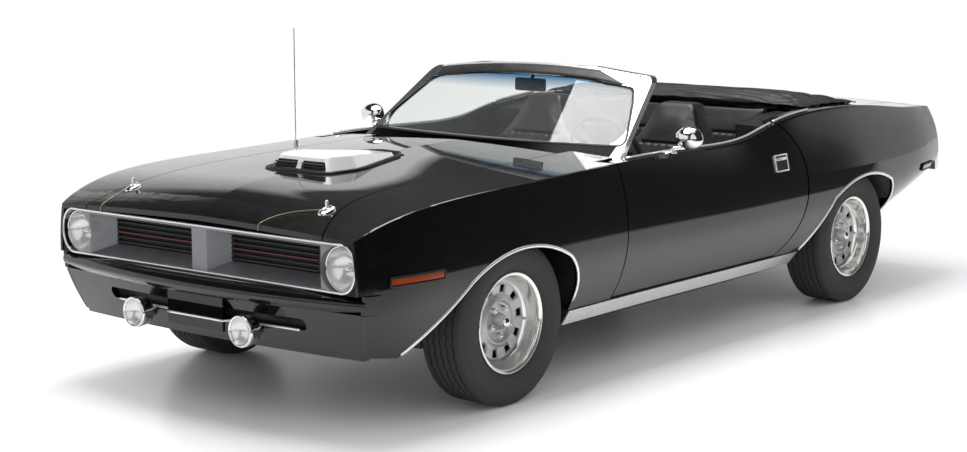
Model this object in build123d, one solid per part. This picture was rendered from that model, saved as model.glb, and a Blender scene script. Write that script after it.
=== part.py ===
from build123d import *

import os
from math import radians, tan

# A two-door convertible with its top folded, in millimetres.
# Frame: +X forward, +Y to the driver's side, +Z up, origin on the ground under the middle of the length.

# Whole car
LENGTH = 4742.0
BODY_WIDTH = 1902.0
WHEELBASE = 2743.0
FRONT_OVERHANG = 937.0
FRONT_TRACK = 1516.0
REAR_TRACK = 1565.0

HALF_WIDTH = BODY_WIDTH / 2
NOSE_X = LENGTH / 2
TAIL_X = -LENGTH / 2
FRONT_AXLE_X = NOSE_X - FRONT_OVERHANG
REAR_AXLE_X = FRONT_AXLE_X - WHEELBASE

# Tyres and wheels
TYRE_RADIUS = 329.0
TYRE_WIDTH = 230.0
TREAD_WIDTH = 176.0
RIM_RADIUS = 203.0
BEAD_RADIUS = 190.0
RIM_WIDTH = 190.0
RIM_WALL = 6.0
DISC_OFFSET = 26.0
HUB_RADIUS = 62.0
SLOT_COUNT = 10
BOLT_COUNT = 5
BOLT_CIRCLE = 114.3

# Panels
PANEL_GAP = 6.0
DOOR_GAP = 8.0
DOOR_REAR_GAP = 11.0
SIDE_WALL = 12.0
TOP_WALL = 20.0
QUARTER_WALL = 42.0
CROWN_BULGE = 4.0
FORM_PAST = 60.0
SEAT_GAP = 0.3

# Lines that split the body
HOOD_FRONT_X = NOSE_X - 81.0
HOOD_REAR_X = FRONT_AXLE_X - 700.0
HOOD_HALF = 548.0
HOOD_NOSE_HALF = 655.0
DOOR_FRONT_X = FRONT_AXLE_X - 714.0
DOOR_BOTTOM_Z = 330.0
DOOR_INNER_Y = HALF_WIDTH - 136.0
DOOR_EDGE_SLANT = tan(radians(20.0))
CABIN_HALF = HALF_WIDTH - 176.0
CABIN_REAR_X = REAR_AXLE_X + 309.0
TRUNK_FRONT_X = REAR_AXLE_X - 291.0
TRUNK_REAR_X = TAIL_X + 61.0
TRUNK_HALF = 640.0
DECK_HALF = 700.0
SCREEN_BASE_X = FRONT_AXLE_X - 856.0
SILL_TOP_Z = DOOR_BOTTOM_Z - DOOR_GAP
FLOOR_Z = 232.0
FLOOR_WALL = 18.0
TRUNK_FLOOR_Z = 500.0

# Body sections, each a station along X: how far sill, waist and shoulder lie inside the full half width,
# their heights, and the height of the middle of the top
# x, sill_in, sill_z, waist_in, waist_z, shoulder_in, shoulder_z, crown_z
STATIONS = (
    (HOOD_FRONT_X, 200, 330, 136, 585, 153, 747, 765),
    (HOOD_FRONT_X - 169, 165, 300, 82, 590, 109, 815, 852),
    (HOOD_FRONT_X - 419, 152, 270, 52, 600, 84, 856, 891),
    (FRONT_AXLE_X, 150, 245, 36, 605, 75, 876, 913),
    (DOOR_FRONT_X, 158, 240, 34, 605, 83, 894, 936),
    (DOOR_FRONT_X - 720, 160, 240, 27, 600, 85, 893, 925),
    (REAR_AXLE_X + 969, 158, 242, 21, 600, 86, 908, 935),
    (REAR_AXLE_X + 669, 155, 246, 15, 605, 89, 964, 983),
    (REAR_AXLE_X + 409, 150, 255, 8, 610, 94, 986, 1002),
    (REAR_AXLE_X, 150, 300, 0, 620, 101, 985, 1003),
    (REAR_AXLE_X - 441, 165, 400, 16, 640, 114, 950, 970),
    (TAIL_X + 271, 185, 500, 52, 660, 138, 921, 944),
    (TAIL_X + 51, 215, 560, 100, 672, 170, 898, 918),
)

# Wheel arch outlines from the axle: where the leading edge starts, its upper end, the crown,
# the heel, and the trailing edge's middle and lower end
# axle_x, lead_x, brow_x, brow_z, crown_x, crown_z, heel_x, heel_z, trail_x, trail_z, end_x, end_z
ARCHES = (
    (FRONT_AXLE_X, 640, 300, 540, -40, 632, -304, 562, -370, 470, -378, 360),
    (REAR_AXLE_X, 545, 290, 557, -80, 643, -300, 592, -353, 510, -368, 420),
)
ARCH_FOOT_Z = 265.0


def box(x0, x1, y0, y1, z0, z1):
    """A block between two corners."""
    size = (abs(x1 - x0), abs(y1 - y0), abs(z1 - z0))
    return Pos((x0 + x1) / 2, (y0 + y1) / 2, (z0 + z1) / 2) * Box(*size)


def mirrored(shape):
    """The same shape on the other side of the car."""
    return mirror(shape, about=Plane.XZ)


def both(shape):
    """A shape and its mirror image."""
    return Part() + [shape, mirrored(shape)]


def plan_prism(points, z0, z1):
    """An outline in plan, drawn up from z0 to z1."""
    outline = make_face(Polyline(*points, close=True))
    return extrude(Pos(0, 0, z0) * outline, z1 - z0, dir=(0, 0, 1))


def side_prism(edges, y0, y1):
    """An outline in side view, x against z, drawn across from y0 to y1."""
    outline = Plane((0, y0, 0), x_dir=(1, 0, 0), z_dir=(0, -1, 0)) * make_face(edges)
    return extrude(outline, y1 - y0, dir=(0, 1, 0))


def front_prism(edges, x0, x1):
    """An outline in front view, y against z, drawn along from x0 to x1."""
    outline = Plane((x0, 0, 0), x_dir=(0, 1, 0), z_dir=(1, 0, 0)) * make_face(edges)
    return extrude(outline, x1 - x0, dir=(1, 0, 0))


def rod(start, end, radius):
    """A round bar between two points."""
    path = Line(start, end)
    return sweep(Plane(start, z_dir=path % 0) * Circle(radius), path)


def body_section(row, side, top, drop):
    """One section of the body: sill, waist and shoulder on both sides and a peaked top."""
    x, sill_in, sill_z, waist_in, waist_z, shoulder_in, shoulder_z, crown_z = row
    half = HALF_WIDTH - side
    crown = (0, crown_z - top)
    edges = []
    for hand in (1, -1):
        sill = (hand * (half - sill_in), sill_z)
        waist = (hand * (half - waist_in), waist_z)
        shoulder = (hand * (half - shoulder_in), shoulder_z - top)
        middle = (shoulder[0] / 2, (shoulder[1] + crown[1]) / 2 + CROWN_BULGE)
        edges.append(TangentArc(waist, sill, tangent=(0, -1)))
        edges.append(TangentArc(waist, shoulder, tangent=(0, 1)))
        edges.append(ThreePointArc(shoulder, middle, crown))
        if drop:
            edges.append(Line(sill, (sill[0], sill_z - drop)))
    foot = half - sill_in
    edges.append(Line((-foot, sill_z - drop), (foot, sill_z - drop)))
    return Plane((x, 0, 0), x_dir=(0, 1, 0), z_dir=(1, 0, 0)) * make_face(edges)


def beyond(end, inner):
    """The last station moved outwards, on the line through the last two."""
    share = FORM_PAST / abs(end[0] - inner[0])
    return [value + (value - before) * share for value, before in zip(end, inner)]


def body_form(side=0.0, top=0.0, drop=0.0):
    """The body's form run past both ends, or one that lies a little inside it."""
    rows = [beyond(STATIONS[0], STATIONS[1]), *STATIONS[1:-1], beyond(STATIONS[-1], STATIONS[-2])]
    return loft([body_section(row, side, top, drop) for row in rows])


def arch_prism(row, y0, y1):
    """A wheel arch's opening, cut across."""
    axle_x, lead_x, brow_x, brow_z, crown_x, crown_z, heel_x, heel_z, trail_x, trail_z, end_x, end_z = row
    lead = (axle_x + lead_x, ARCH_FOOT_Z)
    brow = (axle_x + brow_x, brow_z)
    heel = (axle_x + heel_x, heel_z)
    end = (axle_x + end_x, end_z)
    foot_z = FLOOR_Z - 100
    edges = [
        Line((lead[0], foot_z), lead),
        Line(lead, brow),
        ThreePointArc(brow, (axle_x + crown_x, crown_z), heel),
        ThreePointArc(heel, (axle_x + trail_x, trail_z), end),
        Line(end, (end[0], foot_z)),
        Line((end[0], foot_z), (lead[0], foot_z)),
    ]
    return side_prism(edges, y0, y1)


LOW_Z = 180.0
HIGH_Z = 1300.0
WIDE_Y = HALF_WIDTH + 60
OUTER = body_form() & box(STATIONS[-1][0], STATIONS[0][0], -WIDE_Y, WIDE_Y, LOW_Z, HIGH_Z)
SKIN = OUTER - body_form(side=SIDE_WALL, top=TOP_WALL, drop=200)
THICK = OUTER - body_form(side=QUARTER_WALL, top=TOP_WALL, drop=200)


def hood_outline(grow):
    """The hood's plan: straight sides that flare towards the nose."""
    half = HOOD_HALF + grow
    nose_half = HOOD_NOSE_HALF + grow
    front = HOOD_FRONT_X + 10
    flare_x = HOOD_FRONT_X - 390
    rear = HOOD_REAR_X
    edges = [Line((rear, -half), (rear, half)), Line((front, nose_half), (front, -nose_half))]
    for hand in (1, -1):
        flare = (flare_x, hand * half)
        nose = (front, hand * nose_half)
        edges.append(Line((rear, hand * half), flare))
        edges.append(TangentArc(flare, nose, tangent=(1, 0)))
    return make_face(edges)


def hood_prism(grow=0.0):
    return extrude(Pos(0, 0, 560) * hood_outline(grow), HIGH_Z - 560, dir=(0, 0, 1))


# Hood scoop and the hole in the hood round it
SCOOP_FRONT_X = NOSE_X - 620.0
SCOOP_LENGTH = 540.0
SCOOP_FRONT_HALF = 165.0
SCOOP_REAR_HALF = 205.0
SCOOP_TAIL_HALF = 95.0
SCOOP_BASE_Z = 880.0
SCOOP_TOP_Z = 955.0
SCOOP_LEAN = 42.0
SCOOP_HOLE_GAP = 14.0
HOOD_PIN_X = NOSE_X - 230.0
HOOD_PIN_Y = 536.0
HOOD_PIN_RADIUS = 6.0
HOOD_PIN_Z = 866.0
HOOD_PIN_HOLE = 12.0
HINGE_PIN_RADIUS = 5.0
PIN_FIT = 0.3


def scoop_outline(grow):
    """The scoop's plan: a wedge with round corners, widest behind the nostrils, tapering to its tail."""
    front = SCOOP_FRONT_X + grow
    rear = SCOOP_FRONT_X - SCOOP_LENGTH - grow
    wide_x = SCOOP_FRONT_X - 150
    points = [
        (front, -SCOOP_FRONT_HALF - grow),
        (front, SCOOP_FRONT_HALF + grow),
        (wide_x, SCOOP_REAR_HALF + grow),
        (rear, SCOOP_TAIL_HALF + grow),
        (rear, -SCOOP_TAIL_HALF - grow),
        (wide_x, -SCOOP_REAR_HALF - grow),
    ]
    return make_face(FilletPolyline(*points, radius=40, close=True))


HOOD_HINGE_X = HOOD_REAR_X + 14.0
HOOD_HINGE_Z = 878.0
HOOD_HINGE_Y = 470.0
HINGE_ARM = 20.0


def hood():
    """The hood, with the scoop's hole, pin holes and two hinge arms at its rear corners."""
    panel = SKIN & hood_prism()
    panel -= extrude(Pos(0, 0, 700) * scoop_outline(SCOOP_HOLE_GAP), 400, dir=(0, 0, 1))
    for hand in (1, -1):
        panel -= Pos(HOOD_PIN_X, hand * HOOD_PIN_Y, 800) * Cylinder(HOOD_PIN_HOLE, 200)
        arm = box(HOOD_HINGE_X - 10, HOOD_HINGE_X + 60, hand * (HOOD_HINGE_Y - HINGE_ARM / 2),
                  hand * (HOOD_HINGE_Y + HINGE_ARM / 2), HOOD_HINGE_Z - 12, 980)
        arm = arm & body_form(side=SIDE_WALL, top=TOP_WALL - HINGE_ARM / 4)
        bore = Pos(HOOD_HINGE_X, hand * HOOD_HINGE_Y, HOOD_HINGE_Z) * Rot(90, 0, 0) * Cylinder(
            HINGE_PIN_RADIUS + PIN_FIT, 60)
        panel += arm - bore
    return panel


def front_fender():
    """The driver's side fender: top strip, side and wheel arch lip."""
    slant = DOOR_FRONT_X + DOOR_GAP
    waist_y = HALF_WIDTH - 34
    outline = [
        (HOOD_FRONT_X + 20, 0),
        (HOOD_FRONT_X + 20, WIDE_Y),
        (slant - (WIDE_Y - waist_y) * DOOR_EDGE_SLANT, WIDE_Y),
        (slant + (waist_y - CABIN_HALF) * DOOR_EDGE_SLANT, CABIN_HALF),
        (SCREEN_BASE_X + 60, CABIN_HALF),
        (SCREEN_BASE_X + 60, HOOD_HALF + PANEL_GAP),
        (HOOD_REAR_X, HOOD_HALF + PANEL_GAP),
        (HOOD_REAR_X, 0),
    ]
    panel = SKIN & plan_prism(outline, LOW_Z, HIGH_Z)
    panel -= hood_prism(PANEL_GAP)
    panel -= arch_prism(ARCHES[0], 300, WIDE_Y)
    panel -= box(BUMPER_END_X, NOSE_X, 0, WIDE_Y, BUMPER_BOTTOM_Z - BUMPER_GAP, BUMPER_TOP_Z + BUMPER_GAP)
    chin = [(HOOD_FRONT_X + 20, BUMPER_BOTTOM_Z), (HOOD_FRONT_X - CHIN_TOP, BUMPER_BOTTOM_Z),
            (HOOD_FRONT_X - CHIN_FOOT, LOW_Z), (HOOD_FRONT_X + 20, LOW_Z)]
    panel -= side_prism(Polyline(*chin, close=True), 0, WIDE_Y)
    panel -= box(0, NOSE_X, 0, HOOD_HALF, 0, 700)
    panel -= box(0, FRONT_AXLE_X, 0, WIDE_Y, 0, SILL_TOP_Z + SEAT_GAP)
    return panel


# Front end
BUMPER_TOP_Z = 556.0
BUMPER_BOTTOM_Z = 486.0
BUMPER_END_X = HOOD_FRONT_X - 90.0
BUMPER_GAP = 3.0
BUMPER_PROUD = 7.0
BUMPER_DEPTH = 70.0
CHIN_TOP = 26.0
CHIN_FOOT = 131.0
VALANCE_BOTTOM_Z = 300.0
GRILLE_HALF = HALF_WIDTH - 100.0
GRILLE_BOTTOM_Z = BUMPER_TOP_Z + SEAT_GAP
GRILLE_TOP_Z = 738.0
GRILLE_BACK_X = HOOD_FRONT_X - 110.0
GRILLE_FRONT_X = HOOD_FRONT_X - 4.0
HEADLAMP_Y = 724.0
HEADLAMP_Z = 646.0
HEADLAMP_RADIUS = 88.0
DRIVING_LAMP_Y = 296.0
DRIVING_LAMP_Z = 378.0
DRIVING_LAMP_RADIUS = 62.0
PLATE_X = NOSE_X - 54.0
PLATE_WALL = 14.0
PLATE_HALF = 152.0
PLATE_LOW_Z = 350.0
PLATE_HOLE_Z = 417.0
PLATE_HOLE_SPACING = 177.8
PLATE_HOLE_RADIUS = 3.5


def crescent(z, nose_x, end_x, half, depth):
    """A bowed strip in plan: its middle at the nose, its ends further back."""
    edges = [
        ThreePointArc((end_x, -half), (nose_x, 0), (end_x, half)),
        ThreePointArc((end_x - depth, -half), (nose_x - depth, 0), (end_x - depth, half)),
        Line((end_x, -half), (end_x - depth, -half)),
        Line((end_x, half), (end_x - depth, half)),
    ]
    return Pos(0, 0, z) * make_face(edges)


def front_bumper():
    """A slim bumper that bows forward to a low prow and wraps round at its ends."""
    half = HALF_WIDTH - 60
    end_x = HOOD_FRONT_X - 34
    # z, nose_x
    rows = ((BUMPER_BOTTOM_Z, NOSE_X - 26), ((BUMPER_BOTTOM_Z + BUMPER_TOP_Z) / 2, NOSE_X),
            (BUMPER_TOP_Z, NOSE_X - 40))
    bar = loft([crescent(z, nose_x, end_x + nose_x - NOSE_X, half, BUMPER_DEPTH) for z, nose_x in rows])
    wing = box(BUMPER_END_X + BUMPER_GAP, HOOD_FRONT_X - CHIN_TOP, HOOD_NOSE_HALF, HALF_WIDTH,
               BUMPER_BOTTOM_Z, BUMPER_TOP_Z)
    wrap = body_form(side=-BUMPER_PROUD)
    wrap += box(HOOD_FRONT_X, NOSE_X, -HOOD_HALF, HOOD_HALF, BUMPER_BOTTOM_Z, BUMPER_TOP_Z)
    reach = box(BUMPER_END_X + BUMPER_GAP, NOSE_X, -WIDE_Y, WIDE_Y, BUMPER_BOTTOM_Z, BUMPER_TOP_Z)
    return (bar + both(wing - body_form(side=SIDE_WALL))) & wrap & reach


def valance_form(grow):
    """The valance without its slot, sloping back to its lower edge, or a slightly larger one."""
    half = HALF_WIDTH - 100
    top_z = BUMPER_BOTTOM_Z - SEAT_GAP
    end_x = HOOD_FRONT_X - 30 + grow
    deep = 30 + grow
    upper = crescent(top_z, NOSE_X - 60 + grow, end_x, half, deep)
    lower = crescent(VALANCE_BOTTOM_Z, NOSE_X - 125 + grow, end_x - 70, half, deep)
    return loft([upper, lower]) & body_form(side=SIDE_WALL + SEAT_GAP, drop=100)


def front_valance():
    """The panel below the bumper, with its slot and a bracket for a number plate."""
    slot = FilletPolyline((-540, 394), (540, 394), (540, 440), (-540, 440), radius=20, close=True)
    panel = valance_form(0) - front_prism(slot, HOOD_FRONT_X - 300, NOSE_X)
    panel += box(PLATE_X - PLATE_WALL, PLATE_X, -PLATE_HALF, PLATE_HALF, PLATE_LOW_Z, BUMPER_BOTTOM_Z - SEAT_GAP)
    for hand in (1, -1):
        hole = Pos(PLATE_X, hand * PLATE_HOLE_SPACING / 2, PLATE_HOLE_Z) * Rot(0, 90, 0)
        panel -= hole * Cylinder(PLATE_HOLE_RADIUS, 3 * PLATE_WALL)
    return panel


def grille():
    """The surround: two deep recesses either side of a flared post, and a lamp bucket at each end."""
    block = box(GRILLE_BACK_X, GRILLE_FRONT_X, -GRILLE_HALF, GRILLE_HALF, GRILLE_BOTTOM_Z, GRILLE_TOP_Z)
    block &= body_form(side=SIDE_WALL + SEAT_GAP, top=TOP_WALL + PANEL_GAP)
    for hand in (1, -1):
        mouth = front_face(GRILLE_FRONT_X + 1, hand, 40, 640, 566, 728)
        throat = front_face(GRILLE_BACK_X + 30, hand, 100, 560, 604, 704)
        block -= loft([mouth, throat])
        block -= box(GRILLE_BACK_X - 1, GRILLE_BACK_X + 31, hand * 100, hand * 560, 604, 704)
        bucket = Pos(GRILLE_FRONT_X - 40, hand * HEADLAMP_Y, HEADLAMP_Z) * Rot(0, 90, 0)
        block -= bucket * Cylinder(HEADLAMP_RADIUS + SEAT_GAP, 120)
    return block


def front_face(x, hand, y0, y1, z0, z1):
    """An upright rectangle across the car at x."""
    points = [(hand * y0, z0), (hand * y1, z0), (hand * y1, z1), (hand * y0, z1)]
    return Plane((x, 0, 0), x_dir=(0, 1, 0), z_dir=(1, 0, 0)) * make_face(Polyline(*points, close=True))


def grille_inserts():
    """Two black inserts of level bars in the recesses' throats."""
    inserts = Part()
    for hand in (1, -1):
        y0, y1 = hand * (100 + SEAT_GAP), hand * (560 - SEAT_GAP)
        back = box(GRILLE_BACK_X + 4, GRILLE_BACK_X + 10, y0, y1, 604 + SEAT_GAP, 704 - SEAT_GAP)
        for level in range(5):
            z = 614 + 20 * level
            back += box(GRILLE_BACK_X + 8, GRILLE_BACK_X + 34, y0, y1, z - 3, z + 3)
        inserts += back
    return inserts


def front_lamps():
    """Two headlamps in their buckets and two driving lamps ahead of the valance."""
    lamps = Part()
    for hand in (1, -1):
        drum = Pos(GRILLE_FRONT_X - 52, hand * HEADLAMP_Y, HEADLAMP_Z) * Rot(0, 90, 0)
        lens = drum * Cylinder(HEADLAMP_RADIUS, 84)
        dome = Pos(GRILLE_FRONT_X - 128, hand * HEADLAMP_Y, HEADLAMP_Z) * Sphere(150)
        lamps += lens & dome
        shell = Pos(NOSE_X - 50, hand * DRIVING_LAMP_Y, DRIVING_LAMP_Z) * Rot(0, 90, 0)
        lamp = shell * Cylinder(DRIVING_LAMP_RADIUS, 80)
        stud = rod((NOSE_X - 60, hand * DRIVING_LAMP_Y, DRIVING_LAMP_Z - 20),
                   (NOSE_X - 136, hand * DRIVING_LAMP_Y, DRIVING_LAMP_Z - 20), 9)
        lamps += (lamp + stud) - valance_form(SEAT_GAP)
    return lamps


# Windscreen: corners and middle of its foot and of its header
SCREEN_FOOT_Z = 850.0
SCREEN_CORNER_Z = 1204.0
SCREEN_SHOULDER_Z = 1238.0
SCREEN_TOP_Z = 1252.0
SCREEN_TOP_X = SCREEN_BASE_X - 519.0
SCREEN_BASE_HALF = 776.0
SCREEN_TOP_HALF = 630.0
SCREEN_CORNER_HALF = 636.0
SCREEN_CORNER_RADIUS = 55.0
SCREEN_BASE_BOW = 96.0
SCREEN_TOP_BOW = 72.0
SCREEN_FRAME = 44.0
SCREEN_GLASS = 10.0
GLASS_SETBACK = 14.0
GLASS_EDGE = 12.0
PILLAR_WIDTH = 50.0
HEADER_HEIGHT = 44.0
SCREEN_RAIL = 80.0


def screen_slab(back, thick):
    """The windscreen's bowed, raked slab, a little behind its front face."""
    foot = crescent(SCREEN_FOOT_Z, SCREEN_BASE_X + SCREEN_BASE_BOW - back, SCREEN_BASE_X - back,
                    SCREEN_BASE_HALF, thick)
    head = crescent(SCREEN_TOP_Z, SCREEN_TOP_X + SCREEN_TOP_BOW - back, SCREEN_TOP_X - back,
                    SCREEN_TOP_HALF, thick)
    return loft([foot, head], ruled=True)


def screen_outline(side_in, foot_up, head_down):
    """The windscreen seen from the front, with a crowned top, moved inwards by given amounts."""
    foot_half = SCREEN_BASE_HALF - side_in
    head_half = SCREEN_CORNER_HALF - side_in
    foot_z = SCREEN_FOOT_Z + foot_up
    corner_z = SCREEN_CORNER_Z - head_down
    shoulder_z = SCREEN_SHOULDER_Z - head_down
    points = [(-foot_half, foot_z), (foot_half, foot_z), (head_half, corner_z), (head_half / 2, shoulder_z),
              (-head_half / 2, shoulder_z), (-head_half, corner_z)]
    outline = FilletPolyline(*points, radius=SCREEN_CORNER_RADIUS, close=True)
    return front_prism(outline, SCREEN_TOP_X - 200, SCREEN_BASE_X + 300)


def screen_opening(grow):
    """The daylight opening, seen from the front."""
    return screen_outline(PILLAR_WIDTH - grow, SCREEN_RAIL - grow, HEADER_HEIGHT - grow)


def windscreen_frame():
    """Pillars, header and foot rail, grooved for the glass and seated on the cowl."""
    frame = screen_slab(0, SCREEN_FRAME) & screen_outline(0, -80, 0)
    frame -= screen_opening(0)
    groove = screen_slab(GLASS_SETBACK - SEAT_GAP, SCREEN_GLASS + 2 * SEAT_GAP)
    frame -= groove & screen_opening(GLASS_EDGE + SEAT_GAP)
    return frame - body_form(side=-40, top=COWL_DROP - SEAT_GAP)


def windscreen():
    return screen_slab(GLASS_SETBACK, SCREEN_GLASS) & screen_opening(GLASS_EDGE)


# Cowl, firewall and hinge pillars
COWL_DROP = 50.0
COWL_WALL = 20.0
FIREWALL_X = FRONT_AXLE_X - 734.0
PILLAR_Y = HALF_WIDTH - 206.0
PILLAR_DEPTH = 50.0
DOOR_HINGE_X = DOOR_FRONT_X - 62.0
DOOR_HINGE_Y = HALF_WIDTH - 83.0
DOOR_HINGE_Z = (490.0, 760.0)
DOOR_HINGE_HEIGHT = 60.0
DOOR_SWEEP = 86.0


def cowl():
    """The cowl's top, the firewall below it and the pillars that carry the doors."""
    front_x = HOOD_REAR_X - PANEL_GAP - 2
    top = box(SCREEN_BASE_X - 60, front_x, -CABIN_HALF + 1, CABIN_HALF - 1, 700, HIGH_Z)
    top = top & body_form(top=COWL_DROP)
    top -= body_form(side=-40, top=COWL_DROP + COWL_WALL)
    inside = body_form(top=COWL_DROP + COWL_WALL / 2)
    wall = box(FIREWALL_X - 12, FIREWALL_X, -PILLAR_Y, PILLAR_Y, FLOOR_Z, HIGH_Z) & inside
    piece = top + wall
    piece -= box(FIREWALL_X - 13, FIREWALL_X + 1, -TUNNEL_HALF, TUNNEL_HALF, 0, TUNNEL_TOP_Z - TUNNEL_WALL)
    sill_top = SILL_TOP_Z + SEAT_GAP
    for hand in (1, -1):
        pillar = box(DOOR_HINGE_X - 60, FIREWALL_X, hand * (PILLAR_Y - PILLAR_DEPTH), hand * PILLAR_Y,
                     FLOOR_Z, HIGH_Z)
        piece += pillar & inside
        piece -= box(DOOR_HINGE_X - 100, FIREWALL_X + 1, hand * (SILL_INNER_Y - 5), hand * WIDE_Y, 0, sill_top)
        for z in DOOR_HINGE_Z:
            piece += box(DOOR_HINGE_X - 12, DOOR_HINGE_X + 12, hand * (PILLAR_Y - 5),
                         hand * DOOR_HINGE_Y, z - 10, z + 10)
            piece += Pos(DOOR_HINGE_X, hand * DOOR_HINGE_Y, z) * Cylinder(
                HINGE_PIN_RADIUS, DOOR_HINGE_HEIGHT + 30)
        ear_y = HOOD_HINGE_Y + HINGE_ARM
        piece += box(front_x - 40, HOOD_HINGE_X + 10, hand * ear_y, hand * (ear_y + 12),
                     HOOD_HINGE_Z - 26, HOOD_HINGE_Z - 10)
        piece += box(HOOD_HINGE_X - 10, HOOD_HINGE_X + 10, hand * ear_y, hand * (ear_y + 12),
                     HOOD_HINGE_Z - 26, HOOD_HINGE_Z + 6)
        piece += Pos(HOOD_HINGE_X, hand * (ear_y - 9), HOOD_HINGE_Z) * Rot(90, 0, 0) * Cylinder(
            HINGE_PIN_RADIUS, 40)
    return piece


# Door outline: its rear edge is one arc that bulges backwards
DOOR_REAR_LOW_X = REAR_AXLE_X + 732.0
DOOR_REAR_MID_X = REAR_AXLE_X + 556.0
DOOR_REAR_MID_Z = 640.0
DOOR_REAR_TOP_X = REAR_AXLE_X + 750.0
DOOR_REAR_TOP_Z = 960.0


def door_side(back, front_x, low_z):
    """The door's outline in side view, its rear edge moved back by a gap."""
    low = (DOOR_REAR_LOW_X - back, DOOR_BOTTOM_Z)
    mid = (DOOR_REAR_MID_X - back, DOOR_REAR_MID_Z)
    top = (DOOR_REAR_TOP_X - back, DOOR_REAR_TOP_Z)
    corners = [top, (top[0], HIGH_Z), (front_x, HIGH_Z), (front_x, low_z), (low[0], low_z)]
    if low_z < DOOR_BOTTOM_Z:
        corners.append(low)
    return [ThreePointArc(low, mid, top), Polyline(*corners)]


def door():
    """The driver's door: a thick panel with pockets for its hinges."""
    waist_y = HALF_WIDTH - 34
    panel = OUTER & side_prism(door_side(0, DOOR_FRONT_X + 80, DOOR_BOTTOM_Z), DOOR_INNER_Y, WIDE_Y)
    front = [
        (DOOR_FRONT_X - (WIDE_Y - waist_y) * DOOR_EDGE_SLANT, WIDE_Y),
        (DOOR_FRONT_X + (waist_y - 700) * DOOR_EDGE_SLANT, 700),
        (DOOR_FRONT_X + 300, 700),
        (DOOR_FRONT_X + 300, WIDE_Y),
    ]
    panel -= plan_prism(front, LOW_Z, HIGH_Z)
    corner = box(DOOR_HINGE_X, DOOR_FRONT_X + 100, DOOR_INNER_Y - 1, WIDE_Y, LOW_Z, HIGH_Z)
    panel -= corner - Pos(DOOR_HINGE_X, DOOR_HINGE_Y, DOOR_REAR_MID_Z) * Cylinder(DOOR_SWEEP, HIGH_Z)
    for z in DOOR_HINGE_Z:
        half = DOOR_HINGE_HEIGHT / 2
        panel -= box(DOOR_HINGE_X - 26, DOOR_FRONT_X + 90, DOOR_INNER_Y - 10, DOOR_HINGE_Y + 22,
                     z - half, z + half)
        panel -= Pos(DOOR_HINGE_X, DOOR_HINGE_Y, z) * Cylinder(
            HINGE_PIN_RADIUS + PIN_FIT, DOOR_HINGE_HEIGHT + 40)
    return panel


def door_fittings():
    """The door's mirror on its stalk and its pull handle."""
    stalk = rod((MIRROR_X + 60, MIRROR_Y - 62, 896), (MIRROR_X + 12, MIRROR_Y, MIRROR_Z - 20), 10)
    head = Pos(MIRROR_X, MIRROR_Y, MIRROR_Z) * Rot(0, 90, 0) * Cylinder(58, 40)
    head += stalk
    plate = box(HANDLE_X - 60, HANDLE_X + 60, HALF_WIDTH - 80, HALF_WIDTH - 30,
                HANDLE_Z - HANDLE_HALF, HANDLE_Z + HANDLE_HALF)
    plate -= body_form(side=-SEAT_GAP)
    return head - body_form(side=-SEAT_GAP, top=-SEAT_GAP) + (plate & body_form(side=-14))


MIRROR_X = FRONT_AXLE_X - 1160.0
MIRROR_Y = HALF_WIDTH - 24.0
MIRROR_Z = 960.0
HANDLE_X = REAR_AXLE_X + 780.0
HANDLE_Z = 778.0
HANDLE_HALF = 42.0


# Rear body
def quarter():
    """The driver's side quarter panel: side, top strip beside cabin, deck and trunk, and arch lip."""
    outline = [
        (DOOR_FRONT_X - 900, CABIN_HALF),
        (CABIN_REAR_X, CABIN_HALF),
        (CABIN_REAR_X, DECK_HALF + SEAT_GAP),
        (LID_HINGE_X, DECK_HALF + SEAT_GAP),
        (LID_HINGE_X, TRUNK_HALF + PANEL_GAP),
        (TAIL_X, TRUNK_HALF - 40 + PANEL_GAP),
        (TAIL_X, WIDE_Y),
        (DOOR_FRONT_X - 900, WIDE_Y),
    ]
    panel = THICK & plan_prism(outline, LOW_Z, HIGH_Z)
    panel -= side_prism(door_side(DOOR_REAR_GAP, DOOR_FRONT_X + 900, LOW_Z), 0, WIDE_Y)
    panel -= arch_prism(ARCHES[1], 300, WIDE_Y)
    panel -= box(REAR_AXLE_X + 300, DOOR_FRONT_X, 300, WIDE_Y, 0, SILL_TOP_Z + SEAT_GAP)
    return panel + lid_rod(LID_PIN_RADIUS, TRUNK_HALF - LID_KNUCKLE_LENGTH, TRUNK_HALF + 40)


LID_HINGE_X = TRUNK_FRONT_X
LID_HINGE_Z = 958.0
LID_ROLL = 20.0
LID_HOLLOW = 38.0
LID_PIN_RADIUS = 5.0
LID_KNUCKLE = 14.0
LID_KNUCKLE_LENGTH = 46.0


def lid_rod(radius, y0, y1):
    """A round bar on the trunk lid's hinge line."""
    return rod((LID_HINGE_X, y0, LID_HINGE_Z), (LID_HINGE_X, y1, LID_HINGE_Z), radius)


def trunk_lid():
    """The trunk lid, its front edge rolled about the hinge line, with a knuckle at each end."""
    front_x = LID_HINGE_X + LID_ROLL
    outline = [
        (front_x, -TRUNK_HALF),
        (front_x, TRUNK_HALF),
        (TRUNK_REAR_X, TRUNK_HALF - 40),
        (TRUNK_REAR_X, -TRUNK_HALF + 40),
    ]
    panel = SKIN & plan_prism(outline, 700, HIGH_Z)
    lip = box(LID_HINGE_X, front_x + 1, -TRUNK_HALF, TRUNK_HALF, 700, HIGH_Z)
    panel -= lip - lid_rod(LID_ROLL, -TRUNK_HALF, TRUNK_HALF)
    for hand in (1, -1):
        end_y = hand * (TRUNK_HALF - 4)
        panel += lid_rod(LID_KNUCKLE, end_y - hand * LID_KNUCKLE_LENGTH, end_y)
        panel -= lid_rod(LID_PIN_RADIUS + PIN_FIT, end_y - hand * (LID_KNUCKLE_LENGTH + 1), end_y + hand * 9)
    return panel


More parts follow.
